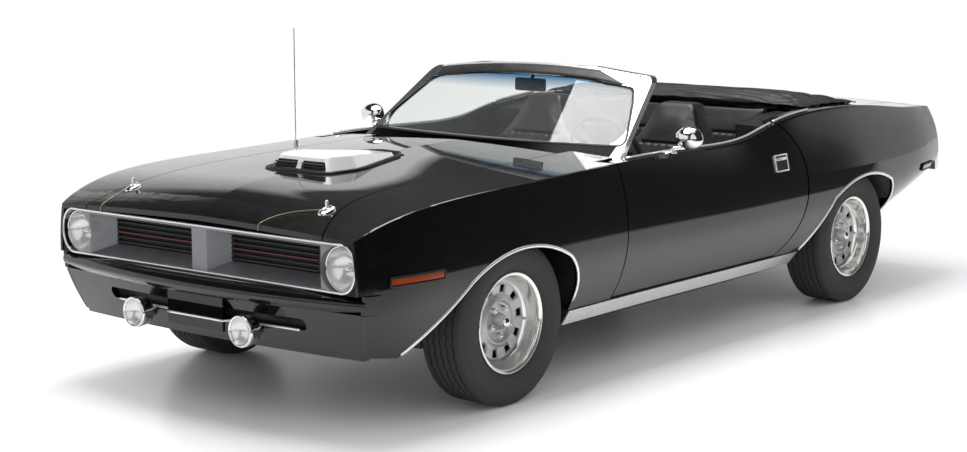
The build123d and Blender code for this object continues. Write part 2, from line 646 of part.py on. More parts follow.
def rear_deck():
    """The fixed top panel between the cabin and the trunk lid, hollowed along the lid's hinge line."""
    panel = SKIN & box(LID_HINGE_X, CABIN_REAR_X, -DECK_HALF, DECK_HALF, 700, HIGH_Z)
    return panel - lid_rod(LID_HOLLOW, -WIDE_Y, WIDE_Y)


def tail_panel():
    """The upright panel between the quarters, under the trunk lid."""
    inside = body_form(side=QUARTER_WALL + SEAT_GAP, top=TOP_WALL + PANEL_GAP)
    return box(TAIL_X + 56, TAIL_X + 90, -WIDE_Y, WIDE_Y, TRUNK_FLOOR_Z, 940) & inside


REAR_BUMPER_Z = 606.0
REAR_BUMPER_HALF_HEIGHT = 40.0
REAR_BUMPER_BOW = 14.0


def rear_bumper():
    """A slim bar across the tail, its ends seated on the quarter panels."""
    seat_x = -STATIONS[-1][0] + SEAT_GAP
    strips = []
    for level in (-1, 0, 1):
        z = REAR_BUMPER_Z + level * REAR_BUMPER_HALF_HEIGHT
        front_x = NOSE_X - REAR_BUMPER_BOW * abs(level)
        end_x = front_x - REAR_BUMPER_BOW
        strip = crescent(z, front_x, end_x, HALF_WIDTH - 110, end_x - seat_x)
        strips.append(mirror(strip, about=Plane.YZ))
    return loft(strips)


# Floor
TUNNEL_HALF = 130.0
TUNNEL_TOP_Z = 380.0
TUNNEL_WALL = 14.0
SILL_INNER_Y = 640.0
WHEELHOUSE_Y = 622.0
WHEELHOUSE_WALL = 14.0
WHEELHOUSE_LOW_Z = 395.0
WHEELHOUSE_TOP_Z = 780.0
JACK_X = DOOR_FRONT_X - 420.0
JACK_Y = 550.0
JACK_PAD = 45.0
JACK_DROP = 10.0
HEEL_X = REAR_AXLE_X + 749.0
SEAT_PAN_Z = 400.0
STEP_X = REAR_AXLE_X + 404.0


def floor_pan():
    """Sills, floor, tunnel, heel board, seat pan, trunk floor and inner wheelhouse walls in one."""
    sill_front = FRONT_AXLE_X + ARCHES[0][10] - 2
    sill_rear = REAR_AXLE_X + 500
    front_x = FIREWALL_X - 12 - SEAT_GAP
    tunnel_half = TUNNEL_HALF + TUNNEL_WALL
    # x0, x1, half, z0, z1
    plates = (
        (HEEL_X, front_x, SILL_INNER_Y, FLOOR_Z, FLOOR_Z + FLOOR_WALL),
        (HEEL_X, front_x, tunnel_half, FLOOR_Z, TUNNEL_TOP_Z),
        (HEEL_X, HEEL_X + FLOOR_WALL, SILL_INNER_Y, FLOOR_Z, SEAT_PAN_Z + FLOOR_WALL),
        (STEP_X, HEEL_X + FLOOR_WALL, WHEELHOUSE_Y, SEAT_PAN_Z, SEAT_PAN_Z + FLOOR_WALL),
        (STEP_X, STEP_X + FLOOR_WALL, WHEELHOUSE_Y, SEAT_PAN_Z, TRUNK_FLOOR_Z + FLOOR_WALL),
        (TAIL_X + 92, STEP_X + FLOOR_WALL, WHEELHOUSE_Y, TRUNK_FLOOR_Z, TRUNK_FLOOR_Z + FLOOR_WALL),
    )
    piece = Part()
    for x0, x1, half, z0, z1 in plates:
        piece += box(x0, x1, -half, half, z0, z1)
    piece -= box(HEEL_X - 1, NOSE_X, -TUNNEL_HALF, TUNNEL_HALF, 0, TUNNEL_TOP_Z - TUNNEL_WALL)
    for hand in (1, -1):
        rail = box(sill_rear, sill_front, hand * (SILL_INNER_Y - 4), hand * WIDE_Y, LOW_Z, SILL_TOP_Z) & OUTER
        piece += rail
        piece += box(REAR_AXLE_X - 390, REAR_AXLE_X + 360, hand * (WHEELHOUSE_Y - WHEELHOUSE_WALL),
                     hand * WHEELHOUSE_Y, WHEELHOUSE_LOW_Z, WHEELHOUSE_TOP_Z)
        piece += box(JACK_X - JACK_PAD, JACK_X + JACK_PAD, hand * (JACK_Y - JACK_PAD), hand * (JACK_Y + JACK_PAD),
                     FLOOR_Z - JACK_DROP, FLOOR_Z + FLOOR_WALL / 2)
    return piece


APRON_Y = 470.0
APRON_WALL = 15.0
APRON_LOW_Z = 300.0
SPLASH_X = FRONT_AXLE_X - 394.0
SPLASH_WALL = 10.0
SUPPORT_X = HOOD_FRONT_X - 190.0


def engine_bay():
    """Aprons beside the engine, their top rails under the fenders, radiator support and hood pins."""
    under = body_form(side=SIDE_WALL, top=TOP_WALL + SEAT_GAP, drop=200)
    piece = box(SUPPORT_X, SUPPORT_X + 20, -600, 600, 330, 700)
    piece -= box(SUPPORT_X - 1, SUPPORT_X + 21, -360, 360, 380, 680)
    rear_x = FIREWALL_X + SEAT_GAP
    for hand in (1, -1):
        inner_y = hand * (APRON_Y - APRON_WALL)
        piece += box(rear_x, SUPPORT_X + 5, inner_y, hand * APRON_Y, APRON_LOW_Z, 800)
        splash = box(SPLASH_X - SPLASH_WALL, SPLASH_X, inner_y, hand * WIDE_Y, SILL_TOP_Z + SEAT_GAP, HIGH_Z)
        piece += splash & body_form(side=SIDE_WALL + SEAT_GAP, top=TOP_WALL + SEAT_GAP)
        piece -= box(FRONT_AXLE_X - 70, FRONT_AXLE_X + 70, inner_y, hand * APRON_Y, 300, 520)
        rail = box(HOOD_HINGE_X + 40, SUPPORT_X + 20, inner_y, hand * 600, 780, HIGH_Z) & under
        rail -= extrude(Pos(0, 0, 800) * hood_outline(PANEL_GAP), 300, dir=(0, 0, 1))
        piece += rail
        piece += box(SUPPORT_X + 10, HOOD_PIN_X + 14, hand * (HOOD_PIN_Y - 16), hand * (HOOD_PIN_Y + 16), 680, 700)
        piece += Pos(HOOD_PIN_X, hand * HOOD_PIN_Y, HOOD_PIN_Z) * Cylinder(
            HOOD_PIN_RADIUS, HOOD_PIN_Z - 690, align=(Align.CENTER, Align.CENTER, Align.MAX))
    return piece


# Cabin
SEAT_Y = 390.0
SEAT_HALF = 240.0
HEADREST_HALF = 150.0
SEAT_TOP_Z = 1062.0
REAR_SEAT_HALF = 600.0
DASH_HALF = PILLAR_Y - PILLAR_DEPTH - SEAT_GAP
WHEEL_HUB = (FRONT_AXLE_X - 1300.0, SEAT_Y, 838.0)
COLUMN_FOOT = (FRONT_AXLE_X - 930.0, SEAT_Y, 708.0)
COLUMN_RADIUS = 24.0
STEERING_RADIUS = 188.0


def front_seats():
    """Two high-backed bucket seats: a side outline cut to shape from the front."""
    floor = FLOOR_Z + FLOOR_WALL + SEAT_GAP
    x = REAR_AXLE_X + 1300
    side = [(x + 170, floor), (x + 180, 440), (x - 180, 400), (x - 330, 800), (x - 420, SEAT_TOP_Z),
            (x - 545, SEAT_TOP_Z), (x - 480, 700), (x - 330, floor)]
    body = side_prism(FilletPolyline(*side, radius=30, close=True), SEAT_Y - SEAT_HALF, SEAT_Y + SEAT_HALF)
    front = [(-SEAT_HALF, floor - 1), (SEAT_HALF, floor - 1), (SEAT_HALF, 740), (HEADREST_HALF + 15, 900),
             (HEADREST_HALF, SEAT_TOP_Z + 1), (-HEADREST_HALF, SEAT_TOP_Z + 1),
             (-HEADREST_HALF - 15, 900), (-SEAT_HALF, 740)]
    outline = FilletPolyline(*front, radius=30, close=True)
    return both(body & Pos(0, SEAT_Y, 0) * front_prism(outline, x - 700, x + 300))


def rear_seat():
    """The rear bench on its raised pan, its back against the bulkhead."""
    pan = SEAT_PAN_Z + FLOOR_WALL + SEAT_GAP
    deck = TRUNK_FLOOR_Z + FLOOR_WALL + SEAT_GAP
    step = STEP_X + FLOOR_WALL + SEAT_GAP
    side = [(HEEL_X + 90, pan), (HEEL_X + 95, pan + 90), (HEEL_X - 270, pan + 60), (HEEL_X - 365, 925),
            (HEEL_X - 430, 925), (HEEL_X - 390, deck), (step, deck), (step, pan)]
    return side_prism(Polyline(*side, close=True), -REAR_SEAT_HALF, REAR_SEAT_HALF)


def cabin_trim():
    """Side trim boxes beside the rear seat, under the quarter panels' ledges."""
    inside = body_form(side=QUARTER_WALL + SEAT_GAP, top=TOP_WALL + SEAT_GAP)
    panel = box(REAR_AXLE_X + 354, HEEL_X - 12, SILL_INNER_Y, DOOR_INNER_Y - 12, SILL_TOP_Z + SEAT_GAP, 990)
    return both(panel & inside)


def dashboard():
    """The dashboard: a deep padded roll under the windscreen."""
    x = SCREEN_BASE_X
    side = [(x + 90, 640), (x + 90, 800), (x - 70, 815), (x - 90, 870), (x - 190, 866), (x - 230, 820),
            (x - 200, 660), (x - 120, 600)]
    return side_prism(FilletPolyline(*side, radius=18, close=True), -DASH_HALF, DASH_HALF) - rod(
        COLUMN_FOOT, WHEEL_HUB, COLUMN_RADIUS + SEAT_GAP)


def column_line(start, end):
    """A point a given way along the steering column, from its foot to the wheel."""
    return Vector(*COLUMN_FOOT) + (Vector(*WHEEL_HUB) - Vector(*COLUMN_FOOT)) * (start / end)


def steering_column():
    """The column's tube, with a collar under the wheel."""
    whole = (Vector(*WHEEL_HUB) - Vector(*COLUMN_FOOT)).length
    end = column_line(whole - 30 - SEAT_GAP, whole)
    collar = column_line(whole - 110, whole)
    return rod(Vector(*COLUMN_FOOT), end, COLUMN_RADIUS) + rod(collar, end, COLUMN_RADIUS + 8)


def steering_wheel():
    """A thin-rimmed wheel with three spokes and a padded hub."""
    axis = (Vector(*WHEEL_HUB) - Vector(*COLUMN_FOOT)).normalized()
    wheel = Torus(STEERING_RADIUS, 13) + Pos(0, 0, -10) * Cylinder(44, 40)
    for angle in (90, 210, 330):
        wheel += Rot(0, 0, angle) * Pos(STEERING_RADIUS / 2, 0, -4) * Box(STEERING_RADIUS, 30, 7)
    return Plane(WHEEL_HUB, x_dir=(0, 1, 0), z_dir=axis) * wheel


# Folded top under its cover
BOOT_HALF = 800.0
BOOT_FRONT_X = REAR_AXLE_X + 379.0
BOOT_REAR_X = REAR_AXLE_X - 240.0
BOOT_TOP_Z = 1048.0


def folded_top():
    """The folded top under its cover, lying on the deck with its ends over the quarter panels."""
    side = [(BOOT_FRONT_X, 960), (BOOT_FRONT_X - 40, 1030), (BOOT_FRONT_X - 180, BOOT_TOP_Z),
            (BOOT_REAR_X + 260, 1036), (BOOT_REAR_X, 985), (BOOT_REAR_X, 940), (BOOT_FRONT_X, 900)]
    front = [(-BOOT_HALF, 940), (-BOOT_HALF + 20, 1000), (-BOOT_HALF + 160, BOOT_TOP_Z + 1),
             (BOOT_HALF - 160, BOOT_TOP_Z + 1), (BOOT_HALF - 20, 1000), (BOOT_HALF, 940)]
    roll = side_prism(FilletPolyline(*side, radius=14, close=True), -BOOT_HALF, BOOT_HALF)
    roll &= front_prism(FilletPolyline(*front, radius=12, close=True), BOOT_REAR_X - 1, BOOT_FRONT_X + 1)
    return roll - body_form(side=-SEAT_GAP, top=-SEAT_GAP)


# Engine, driveline and what hangs below the floor
ENGINE_X = FRONT_AXLE_X - 130.0
ENGINE_LENGTH = 720.0
ENGINE_HALF = 300.0
ENGINE_BOTTOM_Z = 242.0
ENGINE_TOP_Z = 770.0
SHAFT_Z = 292.0
GEARBOX_LENGTH = 640.0
PINION_REACH = 160.0


def engine():
    """The engine as one plain block with bevelled upper flanks."""
    low, high = ENGINE_BOTTOM_Z, ENGINE_TOP_Z
    front = [(-170, low), (170, low), (ENGINE_HALF, low + 260), (ENGINE_HALF, high - 120), (190, high),
             (-190, high), (-ENGINE_HALF, high - 120), (-ENGINE_HALF, low + 260)]
    return front_prism(Polyline(*front, close=True), ENGINE_X - ENGINE_LENGTH / 2, ENGINE_X + ENGINE_LENGTH / 2)


def driveline():
    """The gearbox behind the engine and the propeller shaft to the rear axle."""
    rear = ENGINE_X - ENGINE_LENGTH / 2 - SEAT_GAP
    # x, width, height
    ends = ((rear, 200, 130), (rear - GEARBOX_LENGTH, 130, 110))
    faces = [Plane((x, 0, SHAFT_Z), x_dir=(0, 1, 0), z_dir=(1, 0, 0)) * Rectangle(width, height)
             for x, width, height in ends]
    shaft = rod((rear - GEARBOX_LENGTH, 0, SHAFT_Z), (REAR_AXLE_X + PINION_REACH + 4 * SEAT_GAP, 0, TYRE_RADIUS), 36)
    return loft(faces) + shaft


def hood_scoop():
    """The engine's air scoop: a leaning wedge with two nostrils, standing through the hood on its stem."""
    foot = Pos(0, 0, SCOOP_BASE_Z) * scoop_outline(0)
    head = Pos(0, 0, SCOOP_TOP_Z + 10) * scoop_outline(-SCOOP_LEAN)
    wedge = loft([foot, head], ruled=True)
    rear = SCOOP_FRONT_X - SCOOP_LENGTH
    slope = [(SCOOP_FRONT_X + 10, 942), (SCOOP_FRONT_X - 60, SCOOP_TOP_Z), (SCOOP_FRONT_X - 200, SCOOP_TOP_Z),
             (rear - 10, 926), (rear - 10, 1000), (SCOOP_FRONT_X + 10, 1000)]
    wedge -= side_prism(FilletPolyline(*slope, radius=10, close=True), -WIDE_Y, WIDE_Y)
    for hand in (1, -1):
        nostril = FilletPolyline((hand * 14, 898), (hand * 150, 898), (hand * 128, 938), (hand * 14, 938),
                                 radius=8, close=True)
        wedge -= front_prism(nostril, SCOOP_FRONT_X - 130, SCOOP_FRONT_X + 5)
    stem = box(SCOOP_FRONT_X - 420, SCOOP_FRONT_X - 150, -90, 90, ENGINE_TOP_Z + SEAT_GAP, SCOOP_BASE_Z + 1)
    return wedge + stem


# Running gear
KINGPIN_Y = FRONT_TRACK / 2 - 68.0
BALL_LOW_Z = 224.0
BALL_HIGH_Z = 434.0
BALL_RADIUS = 24.0
BALL_DROP = 34.0
SPINDLE_RADIUS = 28.0
SPINDLE_REACH = 42.0


def front_suspension():
    """The crossmember under the engine, with its lower and upper arms."""
    member = box(FRONT_AXLE_X - 60, FRONT_AXLE_X + 60, -430, 430, 178, ENGINE_BOTTOM_Z - SEAT_GAP)
    for hand in (1, -1):
        member += box(FRONT_AXLE_X - 40, FRONT_AXLE_X + 40, hand * 390, hand * 430, 178, 470)
        member += box(FRONT_AXLE_X - 100, FRONT_AXLE_X + 100, hand * 400,
                      hand * (APRON_Y - APRON_WALL - SEAT_GAP), 410, 470)
        # foot_z, ball_z, radius
        for foot_z, ball_z, radius in ((205, BALL_LOW_Z - BALL_DROP, 18), (455, BALL_HIGH_Z + BALL_DROP, 15)):
            ball = (FRONT_AXLE_X, hand * KINGPIN_Y, ball_z)
            member += rod((FRONT_AXLE_X, hand * 410, foot_z), ball, radius)
            member += Pos(*ball) * Sphere(BALL_RADIUS)
    return member


def knuckle():
    """The driver's side steering knuckle: upright, spindle and brake backing plate."""
    upright = rod((FRONT_AXLE_X, KINGPIN_Y, BALL_LOW_Z - 12), (FRONT_AXLE_X, KINGPIN_Y, BALL_HIGH_Z + 12), 22)
    hub_y = FRONT_TRACK / 2 + SPINDLE_REACH
    upright += rod((FRONT_AXLE_X, KINGPIN_Y, TYRE_RADIUS), (FRONT_AXLE_X, hub_y, TYRE_RADIUS), SPINDLE_RADIUS)
    upright += rod((FRONT_AXLE_X, KINGPIN_Y + 14, TYRE_RADIUS), (FRONT_AXLE_X, KINGPIN_Y + 46, TYRE_RADIUS), 138)
    for z in (BALL_LOW_Z - BALL_DROP, BALL_HIGH_Z + BALL_DROP):
        upright -= Pos(FRONT_AXLE_X, KINGPIN_Y, z) * Sphere(BALL_RADIUS + SEAT_GAP)
    return upright


def rear_axle():
    """The live rear axle: tubes, centre housing, brake drums and leaf springs."""
    half = REAR_TRACK / 2
    axle = rod((REAR_AXLE_X, -half + 84, TYRE_RADIUS), (REAR_AXLE_X, half - 84, TYRE_RADIUS), 42)
    axle += Pos(REAR_AXLE_X, 0, TYRE_RADIUS) * Sphere(140)
    axle += rod((REAR_AXLE_X, 0, TYRE_RADIUS), (REAR_AXLE_X + PINION_REACH, 0, TYRE_RADIUS), 60)
    for hand in (1, -1):
        axle += rod((REAR_AXLE_X, hand * (half - 90), TYRE_RADIUS), (REAR_AXLE_X, hand * (half - 22), TYRE_RADIUS), 138)
        axle += rod((REAR_AXLE_X, hand * (half - 90), TYRE_RADIUS),
                    (REAR_AXLE_X, hand * (half + SPINDLE_REACH), TYRE_RADIUS), SPINDLE_RADIUS)
        axle += leaf_spring(hand)
    return axle


LEAF_Y = 560.0
LEAF_WIDTH = 64.0
LEAF_HEIGHT = 34.0


def leaf_spring(hand):
    """One leaf spring under the axle, its ends carried by hangers on the floor."""
    front = (REAR_AXLE_X + 540, 340)
    rear = (REAR_AXLE_X - 640, 380)
    low = TYRE_RADIUS - 36
    edges = [
        ThreePointArc(front, (REAR_AXLE_X, low), rear),
        ThreePointArc((front[0], front[1] - LEAF_HEIGHT), (REAR_AXLE_X, low - LEAF_HEIGHT),
                      (rear[0], rear[1] - LEAF_HEIGHT)),
        Line(front, (front[0], front[1] - LEAF_HEIGHT)),
        Line(rear, (rear[0], rear[1] - LEAF_HEIGHT)),
    ]
    y0 = hand * LEAF_Y - LEAF_WIDTH / 2
    spring = side_prism(edges, y0, y0 + LEAF_WIDTH)
    spring += box(front[0] - 40, front[0], y0, y0 + LEAF_WIDTH, front[1] - 20, SEAT_PAN_Z - SEAT_GAP)
    spring += box(rear[0], rear[0] + 40, y0, y0 + LEAF_WIDTH, rear[1] - 20, TRUNK_FLOOR_Z - SEAT_GAP)
    return spring


EXHAUST_RADIUS = 30.0


def exhaust():
    """Twin pipes, each with a muffler under the floor and a tail pipe over the axle."""
    points = [(ENGINE_X - 200, 240, 196), (FIREWALL_X - 100, 320, 190), (HEEL_X - 60, 320, 190),
              (REAR_AXLE_X + 330, 440, 330), (REAR_AXLE_X + 120, 450, 430), (REAR_AXLE_X - 330, 450, 430),
              (TAIL_X + 240, 460, 400), (TAIL_X + 40, 460, 396)]
    path = FilletPolyline(*points, radius=60)
    pipe = sweep(Plane(path @ 0, z_dir=path % 0) * Circle(EXHAUST_RADIUS), path)
    pipe += box(HEEL_X + 20, HEEL_X + 520, 210, 430, 150, FLOOR_Z - SEAT_GAP)
    return both(pipe)


def fuel_tank():
    """The flat tank under the trunk floor."""
    return box(TAIL_X + 190, REAR_AXLE_X - 420, -390, 390, 340, TRUNK_FLOOR_Z - SEAT_GAP)


# Trim and lamps
SILL_STRIP_LOW_Z = 252.0
SILL_STRIP_HIGH_Z = 316.0
SILL_STRIP_PROUD = 5.0
MARKER_PROUD = 7.0


def on_side(x0, x1, z0, z1, proud):
    """A thin plate that follows the body's side between two heights, on both sides."""
    plate = box(x0, x1, 600, WIDE_Y, z0, z1) & body_form(side=-proud)
    return both(plate - body_form(side=-SEAT_GAP))


def sill_mouldings():
    """The bright strips along the sills."""
    return on_side(REAR_AXLE_X + 506, FRONT_AXLE_X + ARCHES[0][10] - 8, SILL_STRIP_LOW_Z, SILL_STRIP_HIGH_Z,
                   SILL_STRIP_PROUD)


def marker_lamps():
    """The side marker lamps on fenders and quarters."""
    front = on_side(HOOD_FRONT_X - 390, HOOD_FRONT_X - 130, 582, 612, MARKER_PROUD)
    rear = on_side(TAIL_X + 160, TAIL_X + 340, 594, 624, MARKER_PROUD)
    return front + rear


def tail_lamps():
    """Two wide red lamps on the tail panel."""
    return both(box(TAIL_X + 40, TAIL_X + 56 - SEAT_GAP, 250, 690, 690, 800))


ANTENNA_X = FRONT_AXLE_X - 390.0
ANTENNA_Y = -690.0
ANTENNA_TOP_Z = 1418.0


def antenna():
    """The whip antenna on the passenger side's fender."""
    mast = rod((ANTENNA_X, ANTENNA_Y, 860), (ANTENNA_X, ANTENNA_Y, ANTENNA_TOP_Z), 2.5)
    mast += rod((ANTENNA_X, ANTENNA_Y, 860), (ANTENNA_X, ANTENNA_Y, 915), 12)
    return mast - body_form(side=-SEAT_GAP, top=-SEAT_GAP)


# Wheels, each turned about its axle and facing +Z before it is placed
def tyre():
    """A tyre with round shoulders and bulging side walls."""
    bead, side, tread = RIM_WIDTH / 2 - 7, TYRE_WIDTH / 2, TREAD_WIDTH / 2
    edges = [Line((BEAD_RADIUS + 1, -bead), (BEAD_RADIUS + 1, bead)),
             Line((TYRE_RADIUS, -tread), (TYRE_RADIUS, tread))]
    for hand in (1, -1):
        shoulder = (TYRE_RADIUS - 14, hand * (tread + 16))
        foot = (RIM_RADIUS + 2, hand * bead)
        edges.append(Line((BEAD_RADIUS + 1, hand * bead), foot))
        edges.append(ThreePointArc(foot, (260, hand * side), shoulder))
        edges.append(Line(shoulder, (TYRE_RADIUS, hand * tread)))
    return revolve(Plane.XZ * make_face(edges), Axis.Z)


def wheel():
    """A slotted steel wheel: rim, dished centre, nuts and hub cap."""
    lip = RIM_WIDTH / 2
    bead, seat = lip - 6, BEAD_RADIUS + 0.7
    barrel = [(RIM_RADIUS, lip), (RIM_RADIUS, bead), (seat, bead), (seat, 62), (170, 52), (170, -52), (seat, -62),
              (seat, -bead), (RIM_RADIUS, -bead), (RIM_RADIUS, -lip), (seat - RIM_WALL, -lip),
              (seat - RIM_WALL, -58), (170 - RIM_WALL, -48), (170 - RIM_WALL, 48), (seat - RIM_WALL, 58),
              (seat - RIM_WALL, lip)]
    bore = SPINDLE_RADIUS + SEAT_GAP
    front = DISC_OFFSET
    disc = [(bore, front), (HUB_RADIUS + 14, front), (HUB_RADIUS + 30, front - 14), (148, front + 8), (166, front),
            (166, front - 8), (148, front), (HUB_RADIUS + 30, front - 24), (HUB_RADIUS + 14, front - 10),
            (bore, front - 10)]
    shape = revolve(Plane.XZ * make_face(Polyline(*barrel, close=True)), Axis.Z)
    shape += revolve(Plane.XZ * make_face(Polyline(*disc, close=True)), Axis.Z)
    for index in range(SLOT_COUNT):
        shape -= Rot(0, 0, 360 / SLOT_COUNT * index) * Pos(122, 0, front - 4) * Box(34, 26, 40)
    for index in range(BOLT_COUNT):
        shape += Rot(0, 0, 360 / BOLT_COUNT * index + 18) * Pos(BOLT_CIRCLE / 2, 0, front + 8) * Cylinder(11, 18)
    cap = [(bore, front - 2), (42, front - 2), (40, front + 20), (22, front + 52), (0, front + 56), (0, front + 50),
           (20, front + 46), (bore, front + 20)]
    shape += revolve(Plane.XZ * make_face(Polyline(*cap, close=True)), Axis.Z)
    return shape


TYRE = tyre()
WHEEL = wheel()


def wheel_place(axle_x, track, hand):
    """Where a wheel stands, its outer face away from the car."""
    return Plane((axle_x, hand * track / 2, TYRE_RADIUS), x_dir=(1, 0, 0), z_dir=(0, hand, 0))


# Nodes, each written to a file of its own
os.makedirs("parts", exist_ok=True)

FENDER = front_fender()
QUARTER = quarter()
DOOR = door()
FITTINGS = door_fittings()
KNUCKLE = knuckle()
NODES = {
    "hood": hood(),
    "front_fender_left": FENDER,
    "front_fender_right": mirrored(FENDER),
    "quarter_left": QUARTER,
    "quarter_right": mirrored(QUARTER),
    "door_left": DOOR,
    "door_right": mirrored(DOOR),
    "trunk_lid": trunk_lid(),
    "rear_deck": rear_deck(),
    "tail_panel": tail_panel(),
    "rear_bumper": rear_bumper(),
    "cowl": cowl(),
    "floor_pan": floor_pan(),
    "engine_bay": engine_bay(),
    "front_bumper": front_bumper(),
    "front_valance": front_valance(),
    "grille": grille(),
    "grille_inserts": grille_inserts(),
    "front_lamps": front_lamps(),
    "windscreen_frame": windscreen_frame(),
    "windscreen": windscreen(),
    "front_seats": front_seats(),
    "rear_seat": rear_seat(),
    "cabin_trim": cabin_trim(),
    "dashboard": dashboard(),
    "steering_column": steering_column(),
    "steering_wheel": steering_wheel(),
    "folded_top": folded_top(),
    "engine": engine(),
    "driveline": driveline(),
    "hood_scoop": hood_scoop(),
    "front_suspension": front_suspension(),
    "knuckle_left": KNUCKLE,
    "knuckle_right": mirrored(KNUCKLE),
    "rear_axle": rear_axle(),
    "exhaust": exhaust(),
    "fuel_tank": fuel_tank(),
    "sill_mouldings": sill_mouldings(),
    "marker_lamps": marker_lamps(),
    "tail_lamps": tail_lamps(),
    "antenna": antenna(),
    "door_fittings_left": FITTINGS,
    "door_fittings_right": mirrored(FITTINGS),
}
# name, axle_x, track
AXLES = (("front", FRONT_AXLE_X, FRONT_TRACK), ("rear", REAR_AXLE_X, REAR_TRACK))
for axle_name, axle_x, track in AXLES:
    for side_name, hand in (("left", 1), ("right", -1)):
        place = wheel_place(axle_x, track, hand)
        NODES[f"tyre_{axle_name}_{side_name}"] = place * TYRE
        NODES[f"wheel_{axle_name}_{side_name}"] = place * WHEEL
for name, shape in NODES.items():
    export_step(shape, f"parts/{name}.step")
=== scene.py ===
"""Looks of a black two-door convertible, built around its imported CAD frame."""

import logging
import math
from dataclasses import dataclass, field
from enum import Enum
from typing import Sequence

import bmesh
import bpy
import numpy as np
from mathutils import Matrix, Vector
from mathutils.bvhtree import BVHTree


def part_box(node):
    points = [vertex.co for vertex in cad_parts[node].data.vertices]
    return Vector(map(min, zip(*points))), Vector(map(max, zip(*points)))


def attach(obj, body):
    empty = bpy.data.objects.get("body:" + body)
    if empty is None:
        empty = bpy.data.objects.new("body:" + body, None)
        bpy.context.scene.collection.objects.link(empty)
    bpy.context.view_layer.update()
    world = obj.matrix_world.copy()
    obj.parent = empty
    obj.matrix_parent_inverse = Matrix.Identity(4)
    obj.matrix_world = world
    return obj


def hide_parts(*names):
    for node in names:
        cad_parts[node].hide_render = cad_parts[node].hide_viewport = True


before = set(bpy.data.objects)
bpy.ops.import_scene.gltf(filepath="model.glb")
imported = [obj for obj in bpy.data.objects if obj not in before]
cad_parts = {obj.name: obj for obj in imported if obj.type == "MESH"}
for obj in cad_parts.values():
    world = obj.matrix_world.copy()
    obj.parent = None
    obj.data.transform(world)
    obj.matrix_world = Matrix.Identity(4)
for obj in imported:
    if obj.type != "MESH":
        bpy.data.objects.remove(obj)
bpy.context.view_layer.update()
LOG = logging.getLogger("scene")
logging.basicConfig(level=logging.INFO, format="%(message)s")

Point = tuple[float, float, float]
SIDES = (("left", 1), ("right", -1))


class Grain(Enum):
    """The fine relief of a finish."""

    NONE = "none"
    VINYL = "vinyl"
    CAST = "cast"
    RUBBER = "rubber"


def linear(code: str) -> tuple[float, float, float, float]:
    """Turn an sRGB hex colour into linear RGBA.

    Args:
        code: six hex digits.

    Returns:
        Linear red, green, blue and an alpha of one.
    """
    values = []
    for start in (0, 2, 4):
        part = int(code[start:start + 2], 16) / 255
        values.append(part / 12.92 if part <= 0.04045 else ((part + 0.055) / 1.055) ** 2.4)
    return (values[0], values[1], values[2], 1.0)


def add_node(tree: bpy.types.NodeTree, kind: str, **inputs: object) -> bpy.types.Node:
    """Add a node and set its inputs by name.

    Args:
        tree: the node tree.
        kind: the node's type name.
        inputs: socket values or sockets to link, with _ for a space in the name.

    Returns:
        The new node.
    """
    node = tree.nodes.new(kind)
    for name, value in inputs.items():
        socket = node.inputs[name.replace("_", " ")]
        if isinstance(value, bpy.types.NodeSocket):
            tree.links.new(value, socket)
        else:
            socket.default_value = value
    return node


def combine(tree: bpy.types.NodeTree, operation: str, first: object, second: object) -> bpy.types.NodeSocket:
    """Add a maths node.

    Args:
        tree: the node tree.
        operation: the node's operation.
        first: a socket or a number.
        second: a socket or a number.

    Returns:
        The node's output.
    """
    node = add_node(tree, "ShaderNodeMath")
    node.operation = operation
    for socket, value in zip(node.inputs, (first, second)):
        if isinstance(value, bpy.types.NodeSocket):
            tree.links.new(value, socket)
        else:
            socket.default_value = value
    return node.outputs["Value"]


def ramp(tree: bpy.types.NodeTree, value: bpy.types.NodeSocket, start: float, end: float) -> bpy.types.NodeSocket:
    """Add a ramp from 0 to 1.

    Args:
        tree: the node tree.
        value: what the ramp reads.
        start: where it is 0.
        end: where it is 1.

    Returns:
        The ramp's output.
    """
    return add_node(tree, "ShaderNodeMapRange", Value=value, From_Min=start, From_Max=end).outputs["Result"]


def blend(tree: bpy.types.NodeTree, share: bpy.types.NodeSocket, first: object, second: object) -> bpy.types.NodeSocket:
    """Add a mix of two colours.

    Args:
        tree: the node tree.
        share: the second colour's share.
        first: a colour or a socket.
        second: a colour or a socket.

    Returns:
        The mixed colour.
    """
    node = add_node(tree, "ShaderNodeMix")
    node.data_type = "RGBA"
    tree.links.new(share, node.inputs["Factor"])
    for socket, value in zip((node.inputs[6], node.inputs[7]), (first, second)):
        if isinstance(value, bpy.types.NodeSocket):
            tree.links.new(value, socket)
        else:
            socket.default_value = value
    return node.outputs[2]


def object_axes(tree: bpy.types.NodeTree) -> tuple[bpy.types.NodeSocket, ...]:
    """Add the object's own coordinates.

    Args:
        tree: the node tree.

    Returns:
        The outputs X, Y and Z.
    """
    place = add_node(tree, "ShaderNodeTexCoord")
    return tuple(add_node(tree, "ShaderNodeSeparateXYZ", Vector=place.outputs["Object"]).outputs)


